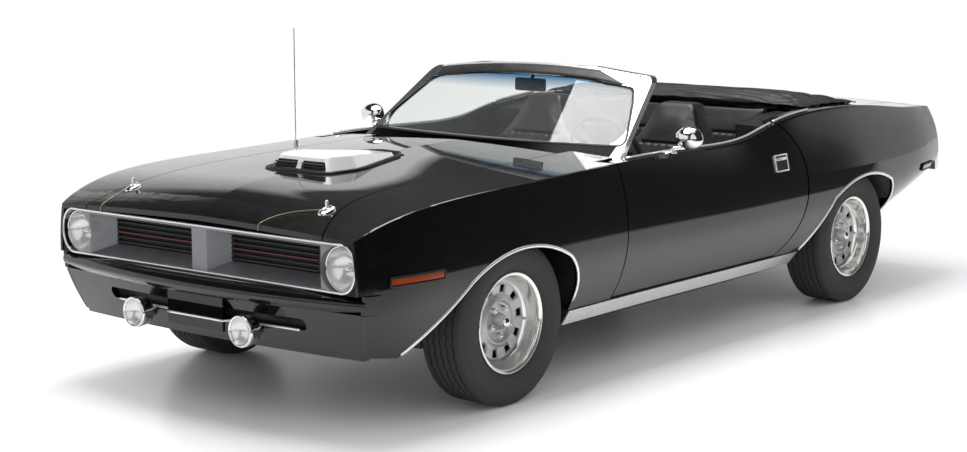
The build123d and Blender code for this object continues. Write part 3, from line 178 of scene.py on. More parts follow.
@dataclass(frozen=True)
class Finish:
    """One surface finish, made as a principled material."""

    name: str
    color: str
    rough: float = 0.4
    metal: float = 0.0
    coat: float = 0.0
    coat_rough: float = 0.02
    specular: float = 0.5
    grain: Grain = Grain.NONE
    grain_size: float = 0.002
    grain_depth: float = 0.1
    transmission: float = 0.0
    ior: float = 1.5
    alpha: float = 1.0
    wear: float = 0.2
    mottle: float = 24.0

    def material(self) -> bpy.types.Material:
        """Return the finish's material, making it the first time."""
        found = bpy.data.materials.get(self.name)
        if found:
            return found
        made = bpy.data.materials.new(self.name)
        made.use_nodes = True
        tree = made.node_tree
        shader = tree.nodes["Principled BSDF"]
        values = {
            "Base Color": linear(self.color), "Roughness": self.rough, "Metallic": self.metal,
            "Coat Weight": self.coat, "Coat Roughness": self.coat_rough, "IOR": self.ior,
            "Specular IOR Level": self.specular, "Transmission Weight": self.transmission, "Alpha": self.alpha,
        }
        for socket, value in values.items():
            shader.inputs[socket].default_value = value
        if self.wear:
            self.ageing(tree, shader)
        if self.grain is not Grain.NONE:
            self.relief(tree, shader)
        self.finishing(tree, shader)
        return made

    def ageing(self, tree: bpy.types.NodeTree, shader: bpy.types.Node) -> None:
        """Vary the colour and the gloss a little over the surface.

        Args:
            tree: the material's nodes.
            shader: its principled shader.
        """
        place = add_node(tree, "ShaderNodeTexCoord")
        noise = add_node(tree, "ShaderNodeTexNoise", Vector=place.outputs["Object"], Scale=self.mottle, Detail=5.0)
        worn = ramp(tree, noise.outputs["Fac"], 0.32, 0.68)
        gloss = add_node(tree, "ShaderNodeMapRange", Value=worn, To_Min=self.rough * (1 - self.wear),
                         To_Max=min(1.0, self.rough * (1 + self.wear)))
        tree.links.new(gloss.outputs["Result"], shader.inputs["Roughness"])
        color = linear(self.color)
        darker = [part * (1 - self.wear / 2) for part in color[:3]] + [1.0]
        tree.links.new(blend(tree, worn, darker, color), shader.inputs["Base Color"])

    def relief(self, tree: bpy.types.NodeTree, shader: bpy.types.Node) -> None:
        """Add the finish's fine bumps.

        Args:
            tree: the material's nodes.
            shader: its principled shader.
        """
        place = add_node(tree, "ShaderNodeTexCoord")
        if self.grain is Grain.VINYL:
            texture = add_node(tree, "ShaderNodeTexVoronoi", Vector=place.outputs["Object"], Scale=1 / self.grain_size)
            height = texture.outputs["Distance"]
        else:
            texture = add_node(tree, "ShaderNodeTexNoise", Vector=place.outputs["Object"], Scale=1 / self.grain_size,
                               Detail=3.0)
            height = texture.outputs["Fac"]
        bump = add_node(tree, "ShaderNodeBump", Height=height, Strength=self.grain_depth,
                        Distance=self.grain_size * 0.5)
        tree.links.new(bump.outputs["Normal"], shader.inputs["Normal"])

    def finishing(self, tree: bpy.types.NodeTree, shader: bpy.types.Node) -> None:
        """Add what a kind of finish has beyond the plain values.

        Args:
            tree: the material's nodes.
            shader: its principled shader.
        """


@dataclass(frozen=True)
class TintedScreen(Finish):
    """Windscreen glass with a blue band along its top."""

    band_low: float = 1.125
    band_high: float = 1.185
    band_color: str = "4A7FA8"

    def finishing(self, tree: bpy.types.NodeTree, shader: bpy.types.Node) -> None:
        """Tint the glass by its height.

        Args:
            tree: the material's nodes.
            shader: its principled shader.
        """
        band = ramp(tree, object_axes(tree)[2], self.band_low, self.band_high)
        tree.links.new(blend(tree, band, linear(self.color), linear(self.band_color)), shader.inputs["Base Color"])


@dataclass(frozen=True)
class GrilleSilver(Finish):
    """Silver paint inside the grille's rounded outline, black beyond its ends."""

    end_y: float = 0.745
    end_reach: float = 0.062
    middle_z: float = 0.651
    half_z: float = 0.0885

    def finishing(self, tree: bpy.types.NodeTree, shader: bpy.types.Node) -> None:
        """Paint the corners beyond the round ends black.

        Args:
            tree: the material's nodes.
            shader: its principled shader.
        """
        _, y, z = object_axes(tree)
        aside = combine(tree, "SUBTRACT", combine(tree, "ABSOLUTE", y, 0.0), self.end_y)
        across = combine(tree, "DIVIDE", combine(tree, "MAXIMUM", aside, 0.0), self.end_reach)
        rise = combine(tree, "DIVIDE", combine(tree, "SUBTRACT", z, self.middle_z), self.half_z)
        reach = combine(tree, "ADD", combine(tree, "MULTIPLY", across, across), combine(tree, "MULTIPLY", rise, rise))
        beyond = combine(tree, "MULTIPLY", ramp(tree, reach, 0.98, 1.02), ramp(tree, aside, 0.0, 0.001))
        silver = shader.inputs["Base Color"].links[0].from_socket
        tree.links.new(blend(tree, beyond, silver, linear("030303")), shader.inputs["Base Color"])


@dataclass(frozen=True)
class ValancePaint(Finish):
    """Gloss black, dull where the plate's bracket crosses the air slot."""

    slot_half: float = 0.153
    slot_low: float = 0.398
    slot_high: float = 0.444
    edge: float = 0.001
    dullness: float = 0.5

    def finishing(self, tree: bpy.types.NodeTree, shader: bpy.types.Node) -> None:
        """Take the coat off the bracket inside the slot.

        Args:
            tree: the material's nodes.
            shader: its principled shader.
        """
        _, y, z = object_axes(tree)
        side = combine(tree, "ABSOLUTE", y, 0.0)
        level = combine(tree, "MULTIPLY", ramp(tree, z, self.slot_low, self.slot_low + self.edge),
                        ramp(tree, z, self.slot_high + self.edge, self.slot_high))
        inside = combine(tree, "MULTIPLY", ramp(tree, side, self.slot_half + self.edge, self.slot_half), level)
        tree.links.new(combine(tree, "SUBTRACT", 1.0, inside), shader.inputs["Coat Weight"])
        gloss = shader.inputs["Roughness"].links[0].from_socket
        duller = combine(tree, "MULTIPLY", inside, self.dullness)
        tree.links.new(combine(tree, "ADD", gloss, duller), shader.inputs["Roughness"])


@dataclass(frozen=True)
class ScreenFrame(Finish):
    """Bright pillars over a black foot rail."""

    rail_half: float = 0.690
    rail_top: float = 0.936

    def finishing(self, tree: bpy.types.NodeTree, shader: bpy.types.Node) -> None:
        """Blacken the rail between the pillars' feet.

        Args:
            tree: the material's nodes.
            shader: its principled shader.
        """
        _, y, z = object_axes(tree)
        side = combine(tree, "ABSOLUTE", y, 0.0)
        rail = combine(tree, "MULTIPLY", ramp(tree, side, self.rail_half + 0.004, self.rail_half),
                       ramp(tree, z, self.rail_top + 0.002, self.rail_top))
        bright = shader.inputs["Base Color"].links[0].from_socket
        tree.links.new(blend(tree, rail, bright, linear("050505")), shader.inputs["Base Color"])


@dataclass(frozen=True)
class FlutedLens(Finish):
    """Clear lamp glass with upright flutes."""

    flute: float = 0.009

    def finishing(self, tree: bpy.types.NodeTree, shader: bpy.types.Node) -> None:
        """Flute the glass across the car.

        Args:
            tree: the material's nodes.
            shader: its principled shader.
        """
        place = add_node(tree, "ShaderNodeTexCoord")
        ribs = add_node(tree, "ShaderNodeTexWave", Vector=place.outputs["Object"], Scale=0.314 / self.flute)
        ribs.bands_direction = "Y"
        bump = add_node(tree, "ShaderNodeBump", Height=ribs.outputs["Fac"], Strength=0.35, Distance=0.002)
        tree.links.new(bump.outputs["Normal"], shader.inputs["Normal"])


PAINT = Finish("gloss_black_paint", "030303", rough=0.4, coat=1.0, coat_rough=0.008, specular=0.06)
VALANCE = ValancePaint("valance_paint", "030303", rough=0.4, coat=1.0, coat_rough=0.012, specular=0.06)
SATIN_BLACK = Finish("satin_black", "0B0B0B", rough=0.45)
UNDERBODY = Finish("underbody_black", "101010", rough=0.7)
ARGENT = Finish("argent_paint", "B2B4B6", rough=0.36, metal=0.6, coat=0.3, coat_rough=0.15)
GRILLE_SILVER = GrilleSilver("grille_silver", "84868A", rough=0.36, metal=0.75, coat=0.2, coat_rough=0.2)
REFLECTOR = Finish("lamp_reflector", "F0F0EC", rough=0.2, metal=0.85, wear=0.1)
SCOOP_SILVER = Finish("scoop_silver", "CDCECF", rough=0.32, metal=0.3, coat=0.7, coat_rough=0.05, wear=0.06)
BRIGHT_FRAME = ScreenFrame("bright_frame", "E6E8EA", rough=0.2, metal=1.0, wear=0.06)
WIRE = Finish("lanyard_wire", "B9AF8E", rough=0.35, metal=0.6)
POLISHED = Finish("polished_ring", "F2F0EC", rough=0.09, metal=0.86, wear=0.06)
CHROME = Finish("chrome", "E4E6E8", rough=0.05, metal=1.0, wear=0.1)
BRUSHED = Finish("bright_strip", "E8EAEC", rough=0.2, metal=0.7, wear=0.1)
STEEL = Finish("dull_steel", "6E6C69", rough=0.45, metal=0.9)
IRON = Finish("cast_iron", "3A3937", rough=0.65, metal=0.4, grain=Grain.CAST, grain_size=0.004)
VINYL = Finish("black_vinyl", "141414", rough=0.38, grain=Grain.VINYL, grain_size=0.0022, grain_depth=0.25)
COVER_VINYL = Finish("cover_vinyl", "161616", rough=0.55, grain=Grain.VINYL, grain_size=0.0018, grain_depth=0.2)
BLACK_PLASTIC = Finish("black_plastic", "0A0A0A", rough=0.35)
RUBBER = Finish("tyre_rubber", "050505", rough=0.7, specular=0.08, grain=Grain.RUBBER, grain_size=0.003,
                grain_depth=0.08)
SEAL = Finish("black_rubber", "070707", rough=0.5)
AMBER = Finish("amber_lens", "8A3308", rough=0.15, coat=0.6)
RED = Finish("red_lens", "8E1410", rough=0.12, coat=0.6)
RED_LINE = Finish("red_line", "7E1A14", rough=0.4)
LENS = FlutedLens("lamp_lens", "D8DCDC", rough=0.05, specular=0.8, alpha=0.22, wear=0.1)
SCREEN = TintedScreen("screen_glass", "EEF3F0", rough=0.0, transmission=1.0, ior=1.45, wear=0.0)
MIRROR = Finish("mirror_glass", "D8DCE0", rough=0.02, metal=1.0, wear=0.1)


@dataclass(frozen=True)
class BodyForm:
    """The body's outer form as sections along X, for shading and placing what lies on it."""

    half_width: float = 0.951
    bulge: float = 0.004
    # x, sill_in, sill_z, waist_in, waist_z, shoulder_in, shoulder_z, crown_z, in millimetres
    stations: tuple[tuple[float, ...], ...] = (
        (2290, 200, 330, 136, 585, 153, 747, 765),
        (2121, 165, 300, 82, 590, 109, 815, 852),
        (1871, 152, 270, 52, 600, 84, 856, 891),
        (1434, 150, 245, 36, 605, 75, 876, 913),
        (720, 158, 240, 34, 605, 83, 894, 936),
        (0, 160, 240, 27, 600, 85, 893, 925),
        (-340, 158, 242, 21, 600, 86, 908, 935),
        (-640, 155, 246, 15, 605, 89, 964, 983),
        (-900, 150, 255, 8, 610, 94, 986, 1002),
        (-1309, 150, 300, 0, 620, 101, 985, 1003),
        (-1750, 165, 400, 16, 640, 114, 950, 970),
        (-2100, 185, 500, 52, 660, 138, 921, 944),
        (-2320, 215, 560, 100, 672, 170, 898, 918),
    )

    def section(self, x: np.ndarray) -> np.ndarray:
        """Interpolate the sections with natural cubic splines.

        Args:
            x: places along the car, in metres.

        Returns:
            One row for each place: the seven section values, in metres.
        """
        table = np.array(self.stations[::-1], float) / 1000
        knots, values = table[:, 0], table[:, 1:]
        step = np.diff(knots)
        count = len(knots)
        system = np.eye(count)
        right = np.zeros_like(values)
        for row in range(1, count - 1):
            system[row, row - 1:row + 2] = (step[row - 1], 2 * (step[row - 1] + step[row]), step[row])
            right[row] = 6 * ((values[row + 1] - values[row]) / step[row]
                              - (values[row] - values[row - 1]) / step[row - 1])
        second = np.linalg.solve(system, right)
        x = np.clip(x, knots[0], knots[-1])
        low = np.clip(np.searchsorted(knots, x) - 1, 0, count - 2)
        width = step[low][:, None]
        a = (knots[low + 1] - x)[:, None] / width
        b = 1 - a
        return (a * values[low] + b * values[low + 1]
                + ((a ** 3 - a) * second[low] + (b ** 3 - b) * second[low + 1]) * width ** 2 / 6)

    def fields(self, x: np.ndarray, y: np.ndarray, z: np.ndarray) -> tuple[np.ndarray, ...]:
        """Measure how points lie to the side, the top and the shoulder of the form.

        Args:
            x: places along the car.
            y: distances from the middle plane.
            z: heights.

        Returns:
            Distance outside the side, distance above the top, place across the shoulder (below zero on the side),
            and the outward directions of side and top in the section.
        """
        sill_in, sill_z, waist_in, waist_z, shoulder_in, shoulder_z, crown_z = self.section(x).T
        waist_y = self.half_width - waist_in
        shoulder_y = self.half_width - shoulder_in
        above = z >= waist_z
        run = np.where(above, waist_y - shoulder_y, waist_y - (self.half_width - sill_in))
        rise = np.where(above, shoulder_z - waist_z, waist_z - sill_z)
        radius = (run ** 2 + rise ** 2) / (2 * run)
        side = np.stack([y - (waist_y - radius), z - waist_z], 1)
        side_length = np.linalg.norm(side, axis=1)
        mid_y, mid_z = shoulder_y / 2, (shoulder_z + crown_z) / 2 + self.bulge
        top_y, top_z, top_radius = circle_through((shoulder_y, shoulder_z), (mid_y, mid_z), (0 * mid_y, crown_z))
        top = np.stack([y - top_y, z - top_z], 1)
        top_length = np.linalg.norm(top, axis=1)
        across = (shoulder_y - y) - (shoulder_z - z)
        return (side_length - radius, top_length - top_radius, across,
                side / side_length[:, None], top / top_length[:, None])

    def normals(self, points: np.ndarray, hands: np.ndarray, tops: np.ndarray) -> np.ndarray:
        """Give the form's outward normals at points on it.

        Args:
            points: an array of places.
            hands: the side of the car that each counts to, 1 or -1.
            tops: from 0 on the body's side to 1 on its top.

        Returns:
            Unit normals.
        """
        x, y, z = points[:, 0], points[:, 1] * hands, points[:, 2]
        h = 0.004
        ahead, behind = self.fields(x + h, y, z), self.fields(x - h, y, z)
        here = self.fields(x, y, z)
        made = []
        for index in (0, 1):
            slope = (ahead[index] - behind[index]) / (2 * h)
            made.append(np.column_stack([slope, here[3 + index][:, 0], here[3 + index][:, 1]]))
        share = tops[:, None]
        normals = made[0] * (1 - share) + made[1] * share
        normals[:, 1] *= hands
        return normals / np.linalg.norm(normals, axis=1)[:, None]


def circle_through(a: Sequence[np.ndarray], b: Sequence[np.ndarray], c: Sequence[np.ndarray]) -> tuple[np.ndarray, ...]:
    """Find the circle through three points, for many sections at once.

    Args:
        a: first point's two coordinates.
        b: second point's.
        c: third point's.

    Returns:
        The centre's two coordinates and the radius.
    """
    d = 2 * (a[0] * (b[1] - c[1]) + b[0] * (c[1] - a[1]) + c[0] * (a[1] - b[1]))
    sa, sb, sc = a[0] ** 2 + a[1] ** 2, b[0] ** 2 + b[1] ** 2, c[0] ** 2 + c[1] ** 2
    u = (sa * (b[1] - c[1]) + sb * (c[1] - a[1]) + sc * (a[1] - b[1])) / d
    v = (sa * (c[0] - b[0]) + sb * (a[0] - c[0]) + sc * (b[0] - a[0])) / d
    return u, v, np.hypot(a[0] - u, a[1] - v)


def new_piece(name: str, bm: bmesh.types.BMesh, finish: Finish, body: str, smooth: bool = True) -> bpy.types.Object:
    """Make an object from a bmesh and let it ride on a CAD body.

    Args:
        name: the piece's name.
        bm: its mesh, freed here.
        finish: its finish.
        body: the CAD body that carries it.
        smooth: whether its faces are shaded smooth.

    Returns:
        The new object.
    """
    mesh = bpy.data.meshes.new(name)
    bmesh.ops.recalc_face_normals(bm, faces=bm.faces)
    for face in bm.faces:
        face.smooth = smooth
    bm.to_mesh(mesh)
    bm.free()
    made = bpy.data.objects.new(name, mesh)
    bpy.context.scene.collection.objects.link(made)
    mesh.materials.append(finish.material())
    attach(made, body)
    LOG.info("piece %s: %d faces", name, len(mesh.polygons))
    return made


def sweep(points: Sequence[Vector], section: Sequence[tuple[float, float]], closed: bool = False,
          up: Point = (0, 0, 1)) -> bmesh.types.BMesh:
    """Sweep a closed section along a line.

    Args:
        points: the line.
        section: the section's corners, across and up from the line.
        closed: whether the line's end joins its start.
        up: the direction that the section's second coordinate keeps to.

    Returns:
        The swept mesh.
    """
    bm = bmesh.new()
    rings = []
    count = len(points)
    for index, point in enumerate(points):
        before = points[(index - 1) % count] if closed or index else point
        after = points[(index + 1) % count] if closed or index < count - 1 else point
        along = (after - before).normalized()
        across = along.cross(Vector(up)).normalized()
        rise = across.cross(along)
        rings.append([bm.verts.new(point + across * a + rise * b) for a, b in section])
    sides = len(section)
    for index in range(count if closed else count - 1):
        here, there = rings[index], rings[(index + 1) % count]
        for corner in range(sides):
            other = (corner + 1) % sides
            bm.faces.new((here[corner], here[other], there[other], there[corner]))
    if not closed:
        bm.faces.new(rings[0])
        bm.faces.new(rings[-1][::-1])
    return bm


def round_section(radius: float, sides: int = 8, flat: float = 1.0) -> list[tuple[float, float]]:
    """Return a round or flattened section's corners.

    Args:
        radius: half its width.
        sides: how many corners it has.
        flat: its height as a share of its width.

    Returns:
        The corners, across and up.
    """
    turns = [2 * math.pi * index / sides for index in range(sides)]
    return [(radius * math.cos(turn), radius * flat * math.sin(turn)) for turn in turns]


def spun(profile: Sequence[tuple[float, float]], steps: int, place: Matrix | None = None) -> bmesh.types.BMesh:
    """Spin a profile about Z.

    Args:
        profile: radii and heights.
        steps: how many steps make the full turn.
        place: where the piece goes, if not at the origin.

    Returns:
        The spun mesh.
    """
    bm = bmesh.new()
    verts = [bm.verts.new((radius, 0, height)) for radius, height in profile]
    edges = [bm.edges.new(pair) for pair in zip(verts, verts[1:])]
    bmesh.ops.spin(bm, geom=[*verts, *edges], cent=(0, 0, 0), axis=(0, 0, 1), angle=2 * math.pi, steps=steps,
                   use_merge=True)
    bmesh.ops.remove_doubles(bm, verts=bm.verts, dist=1e-6)
    if place is not None:
        bmesh.ops.transform(bm, matrix=place, verts=bm.verts)
    return bm


def arc(start: Sequence[float], middle: Sequence[float], end: Sequence[float], count: int) -> list[tuple[float, float]]:
    """Return points on the circle through three points.

    Args:
        start: first point.
        middle: a point between.
        end: last point.
        count: how many points to give.

    Returns:
        The points, from start to end.
    """
    u, v, radius = circle_through(start, middle, end)
    turns = [math.atan2(p[1] - v, p[0] - u) for p in (start, middle, end)]
    first = turns[0]
    sweep_to = (turns[2] - first) % (2 * math.pi)
    if (turns[1] - first) % (2 * math.pi) > sweep_to:
        sweep_to -= 2 * math.pi
    return [(u + radius * math.cos(first + sweep_to * i / (count - 1)),
             v + radius * math.sin(first + sweep_to * i / (count - 1))) for i in range(count)]


def axle_place(x: float, y: float, z: float, hand: int) -> Matrix:
    """Return the place of a wheel whose outer face looks away from the car.

    Args:
        x: its place along the car.
        y: its place across the car.
        z: its height.
        hand: the side of the car, 1 or -1.

    Returns:
        The matrix that puts it there.
    """
    return Matrix(((1, 0, 0, x), (0, 0, hand, y), (0, -hand, 0, z), (0, 0, 0, 1)))


def facing_forward(x: float, y: float, z: float) -> Matrix:
    """Return the place of a round piece that faces forward.

    Args:
        x: its place along the car.
        y: its place across the car.
        z: its height.

    Returns:
        The matrix that puts it there.
    """
    return Matrix(((0, 0, 1, x), (1, 0, 0, y), (0, 1, 0, z), (0, 0, 0, 1)))


def block(bm: bmesh.types.BMesh, low: Point, high: Point) -> None:
    """Add a box between two corners to a mesh.

    Args:
        bm: the mesh.
        low: the corner with the low coordinates.
        high: the corner across from it.
    """
    size = Vector(high) - Vector(low)
    middle = (Vector(high) + Vector(low)) / 2
    bmesh.ops.create_cube(bm, size=1.0, matrix=Matrix.Translation(middle) @ Matrix.Diagonal((*size, 1)))


@dataclass
class Surface:
    """Rays onto a CAD node, to lay trim on it."""

    node: str
    far: float = 4.0

    def __post_init__(self) -> None:
        """Build the search tree."""
        bm = bmesh.new()
        bm.from_mesh(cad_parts[self.node].data)
        self.tree = BVHTree.FromBMesh(bm)
        bm.free()

    def beside(self, x: float, z: float, hand: int) -> Vector | None:
        """Look in from one side of the car.

        Args:
            x: the place along the car.
            z: the height.
            hand: the side, 1 or -1.

        Returns:
            The point met, if any.
        """
        return self.tree.ray_cast(Vector((x, self.far * hand, z)), Vector((0, -hand, 0)))[0]

    def above(self, x: float, y: float) -> Vector | None:
        """Look down from above.

        Args:
            x: the place along the car.
            y: the place across it.

        Returns:
            The point met, if any.
        """
        return self.tree.ray_cast(Vector((x, y, self.far)), Vector((0, 0, -1)))[0]

    def ahead(self, y: float, z: float) -> Vector | None:
        """Look back from ahead of the car.

        Args:
            y: the place across the car.
            z: the height.

        Returns:
            The point met, if any.
        """
        return self.tree.ray_cast(Vector((self.far, y, z)), Vector((-1, 0, 0)))[0]


@dataclass
class Wheels:
    """Slotted steel wheels with polished trim rings, and bare black tyres."""

    # name, axle_x, half_track
    axles: tuple[tuple[str, float, float], ...] = (("front", 1.434, 0.758), ("rear", -1.309, 0.7825))
    axle_z: float = 0.329
    slots: int = 10
    steps: int = 120
    slot_steps: int = 5
    slot_radii: tuple[float, float] = (0.116, 0.147)
    slot_wall: float = 0.012
    well: tuple[tuple[float, float], ...] = ((0.165, 0.012), (0.165, -0.06), (0.03, -0.06))
    nuts: int = 5
    nut_circle: float = 0.05715
    nut_turn: float = 18.0
    nut_height: float = 0.033
    nut_size: tuple[float, float] = (0.0125, 0.018)
    nut_dome: float = 0.0095
    bead: tuple[tuple[float, float], ...] = ((0.192, 0.086), (0.204, 0.088))
    sidewall: tuple[tuple[float, float], ...] = ((0.2055, 0.0885), (0.262, 0.1140), (0.312, 0.1020))
    shoulder: tuple[tuple[float, float], ...] = ((0.3155, 0.1015), (0.3185, 0.0985), (0.3250, 0.0925), (0.3278, 0.0880))
    tread_radius: float = 0.3285
    grooves: tuple[float, ...] = (0.062, 0.031, 0.0)
    # place across the groove, share of its depth
    groove_edges: tuple[tuple[float, float], ...] = ((0.0045, 0.0), (0.0035, 1.0), (-0.0035, 1.0), (-0.0045, 0.0))
    tread_from: float = 0.320
    tread_half: float = 0.07
    rib_width: float = 0.0026
    groove_depth: float = 0.007
    sidewall_rings: tuple[float, ...] = (0.2165, 0.2230, 0.2960, 0.3060)
    rib_height: float = 0.0022
    zigzag: float = 0.0035
    zigzag_waves: int = 40
    ring: tuple[tuple[float, float], ...] = (
        (0.2000, 0.0860), (0.2028, 0.0890), (0.2024, 0.0940), (0.1990, 0.0952), (0.1955, 0.0935), (0.1935, 0.0905),
        (0.1915, 0.0912), (0.1890, 0.0890), (0.1868, 0.0830), (0.1845, 0.0700), (0.1815, 0.0500), (0.1770, 0.0320),
        (0.1700, 0.0190), (0.1620, 0.0150),
    )
    disc: tuple[tuple[float, float], ...] = (
        (0.1640, 0.0140), (0.1600, 0.0240), (0.1560, 0.0300), (0.1500, 0.0330), (0.1470, 0.0332), (0.1300, 0.0310),
        (0.1160, 0.0285), (0.1060, 0.0290), (0.0980, 0.0340), (0.0930, 0.0390), (0.0890, 0.0405), (0.0850, 0.0390),
        (0.0820, 0.0330), (0.0790, 0.0270), (0.0740, 0.0250), (0.0300, 0.0250),
    )
    cap: tuple[tuple[float, float], ...] = (
        (0.0360, 0.0250), (0.0350, 0.0300), (0.0290, 0.0480), (0.0230, 0.0620), (0.0215, 0.0640),
    )
    dome: tuple[tuple[float, float], ...] = (
        (0.0222, 0.0620), (0.0226, 0.0660), (0.0205, 0.0720), (0.0150, 0.0775), (0.0080, 0.0803), (0.0, 0.0812),
    )

    def build(self) -> None:
        """Make the four wheels and tyres."""
        for axle, x, half in self.axles:
            for side, hand in SIDES:
                place = axle_place(x, half * hand, self.axle_z, hand)
                self.wheel(f"{axle}_{side}", place)
                self.tyre(f"{axle}_{side}", place)

    def wheel(self, name: str, place: Matrix) -> None:
        """Make one wheel.

        Args:
            name: which wheel.
            place: where it stands.
        """
        body = f"wheel_{name}"
        made = new_piece(f"trim_ring_{name}", spun(self.ring, self.steps, place), POLISHED, body)
        disc = spun(self.disc, self.steps)
        low, high = self.slot_radii
        share = self.steps // self.slots
        gone = []
        for face in disc.faces:
            centre = face.calc_center_median()
            step = int(math.degrees(math.atan2(centre.y, centre.x)) % 360 / 360 * self.steps)
            if low < math.hypot(centre.x, centre.y) < high and step % share < self.slot_steps:
                gone.append(face)
        bmesh.ops.delete(disc, geom=gone, context="FACES")
        rims = [edge for edge in disc.edges if edge.is_boundary
                and low - 0.002 < edge.verts[0].co.xy.length < high + 0.002]
        walls = bmesh.ops.extrude_edge_only(disc, edges=rims)["geom"]
        moved = [item for item in walls if isinstance(item, bmesh.types.BMVert)]
        bmesh.ops.translate(disc, verts=moved, vec=(0, 0, -self.slot_wall))
        bmesh.ops.transform(disc, matrix=place, verts=disc.verts)
        new_piece(f"wheel_centre_{name}", disc, ARGENT, body)
        new_piece(f"wheel_well_{name}", spun(self.well, self.steps, place), UNDERBODY, body)
        bright = spun(self.dome, 32)
        radius, depth = self.nut_size
        for index in range(self.nuts):
            turn = 2 * math.pi * index / self.nuts + math.radians(self.nut_turn)
            centre = Matrix.Translation((self.nut_circle * math.cos(turn), self.nut_circle * math.sin(turn),
                                         self.nut_height))
            bmesh.ops.create_cone(bright, cap_ends=True, segments=6, radius1=radius, radius2=radius, depth=depth,
                                  matrix=centre)
            bmesh.ops.create_uvsphere(bright, u_segments=12, v_segments=6, radius=self.nut_dome,
                                      matrix=centre @ Matrix.Translation((0, 0, depth / 2)))
        bmesh.ops.transform(bright, matrix=place, verts=bright.verts)
        nuts = new_piece(f"wheel_nuts_{name}", bright, CHROME, body)
        nuts.modifiers.new("edges", "EDGE_SPLIT").split_angle = math.radians(40)
        new_piece(f"hub_cone_{name}", spun(self.cap, 48, place), ARGENT, body)
        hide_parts(f"wheel_{name}")

    def tyre_profile(self) -> list[tuple[float, float]]:
        """Return the tyre's profile from the inner bead over the tread to the outer bead."""
        half = list(self.bead)
        for radius, height in arc(*self.sidewall, 45):
            rib = sum(math.exp(-((radius - ring) / self.rib_width) ** 2) for ring in self.sidewall_rings)
            half.append((radius, height + self.rib_height * rib))
        half += self.shoulder
        for centre in self.grooves:
            for offset, depth in self.groove_edges:
                if centre + offset >= 0:
                    half.append((self.tread_radius - depth * self.groove_depth, centre + offset))
        return half + [(radius, -height) for radius, height in half[::-1]]

    def tyre(self, name: str, place: Matrix) -> None:
        """Make one tyre, its grooves running in a zigzag.

        Args:
            name: which tyre.
            place: where it stands.
        """
        bm = spun(self.tyre_profile(), 160)
        for vert in bm.verts:
            if vert.co.xy.length > self.tread_from and abs(vert.co.z) < self.tread_half:
                turn = math.atan2(vert.co.y, vert.co.x)
                vert.co.z += self.zigzag * (2 / math.pi) * math.asin(math.sin(turn * self.zigzag_waves))
        bmesh.ops.transform(bm, matrix=place, verts=bm.verts)
        made = new_piece(f"tread_{name}", bm, RUBBER, f"wheel_{name}")
        made.modifiers.new("edges", "EDGE_SPLIT").split_angle = math.radians(38)
        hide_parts(f"tyre_{name}")


@dataclass
class ArchLips:
    """Bright mouldings round the wheel arches."""

    # axle_x, lead_x, brow_x, brow_z, crown_x, crown_z, heel_x, heel_z, trail_x, trail_z, end_x, end_z
    arches: tuple[tuple[float, ...], ...] = (
        (1434, 640, 300, 540, -40, 632, -304, 562, -370, 470, -378, 360),
        (-1309, 545, 290, 557, -80, 643, -300, 592, -353, 510, -368, 420),
    )
    lead_z: float = 265
    foot_z: float = 0.300
    radius: float = 0.0075
    overlap: float = 0.007
    seat: float = 0.6

    def outline(self, row: Sequence[float]) -> list[tuple[float, float]]:
        """Return one arch's outline.

        Args:
            row: the arch's places, in millimetres.

        Returns:
            The outline, x against z, in metres.
        """
        axle, lead, brow_x, brow_z, crown_x, crown_z, heel_x, heel_z, trail_x, trail_z, end_x, end_z = row
        brow, heel, end = (axle + brow_x, brow_z), (axle + heel_x, heel_z), (axle + end_x, end_z)
        foot = (axle + lead, self.lead_z)
        share = (self.foot_z * 1000 - foot[1]) / (brow[1] - foot[1])
        start = (foot[0] + (brow[0] - foot[0]) * share, self.foot_z * 1000)
        points = [(start[0] + (brow[0] - start[0]) * i / 10, start[1] + (brow[1] - start[1]) * i / 10)
                  for i in range(10)]
        points += arc(brow, (axle + crown_x, crown_z), heel, 24)
        points += arc(heel, (axle + trail_x, trail_z), end, 10)[1:]
        return [(x / 1000, z / 1000) for x, z in points]

    def build(self) -> None:
        """Make the four mouldings."""
        for axle, panel, row in zip(("front", "rear"), ("front_fender", "quarter"), self.arches):
            for side, hand in SIDES:
                skin = Surface(f"{panel}_{side}")
                line = []
                outline = self.outline(row)
                centre = Vector((row[0] / 1000, 0.3))
                for x, z in outline:
                    out = (Vector((x, z)) - centre).normalized() * self.overlap
                    met = skin.beside(x + out.x, z + out.y, hand)
                    if met:
                        line.append(Vector((x + out.x * self.seat, met.y + 0.001 * hand, z + out.y * self.seat)))
                bm = sweep(line, round_section(self.radius, 8, 0.6), up=(0, hand, 0))
                new_piece(f"arch_lip_{axle}_{side}", bm, BRUSHED, "body")


@dataclass
class BeltStrips:
    """Bright strips along the tops of doors and quarters."""

    # panel, body, x from, x to
    runs: tuple[tuple[str, str, float, float], ...] = (
        ("door", "door", 0.63, -0.556), ("quarter", "body", -0.585, -0.92),
    )
    inset: float = 0.028
    lift: float = 0.006
    radius: float = 0.008
    steps: int = 40
    form: BodyForm = field(default_factory=BodyForm)

    def build(self) -> None:
        """Make the strips on both sides."""
        for panel, body, x0, x1 in self.runs:
            for side, hand in SIDES:
                skin = Surface(f"{panel}_{side}")
                line = []
                for x in np.linspace(x0, x1, self.steps + 1):
                    y = hand * (self.form.half_width - self.form.section(np.array([x]))[0, 4] - self.inset)
                    met = skin.above(x, y)
                    if met:
                        line.append(met + Vector((0, 0, self.lift)))
                bm = sweep(line, round_section(self.radius, 8, 0.7))
                carrier = f"door_{side}" if body == "door" else body
                new_piece(f"belt_strip_{panel}_{side}", bm, BRUSHED, carrier)


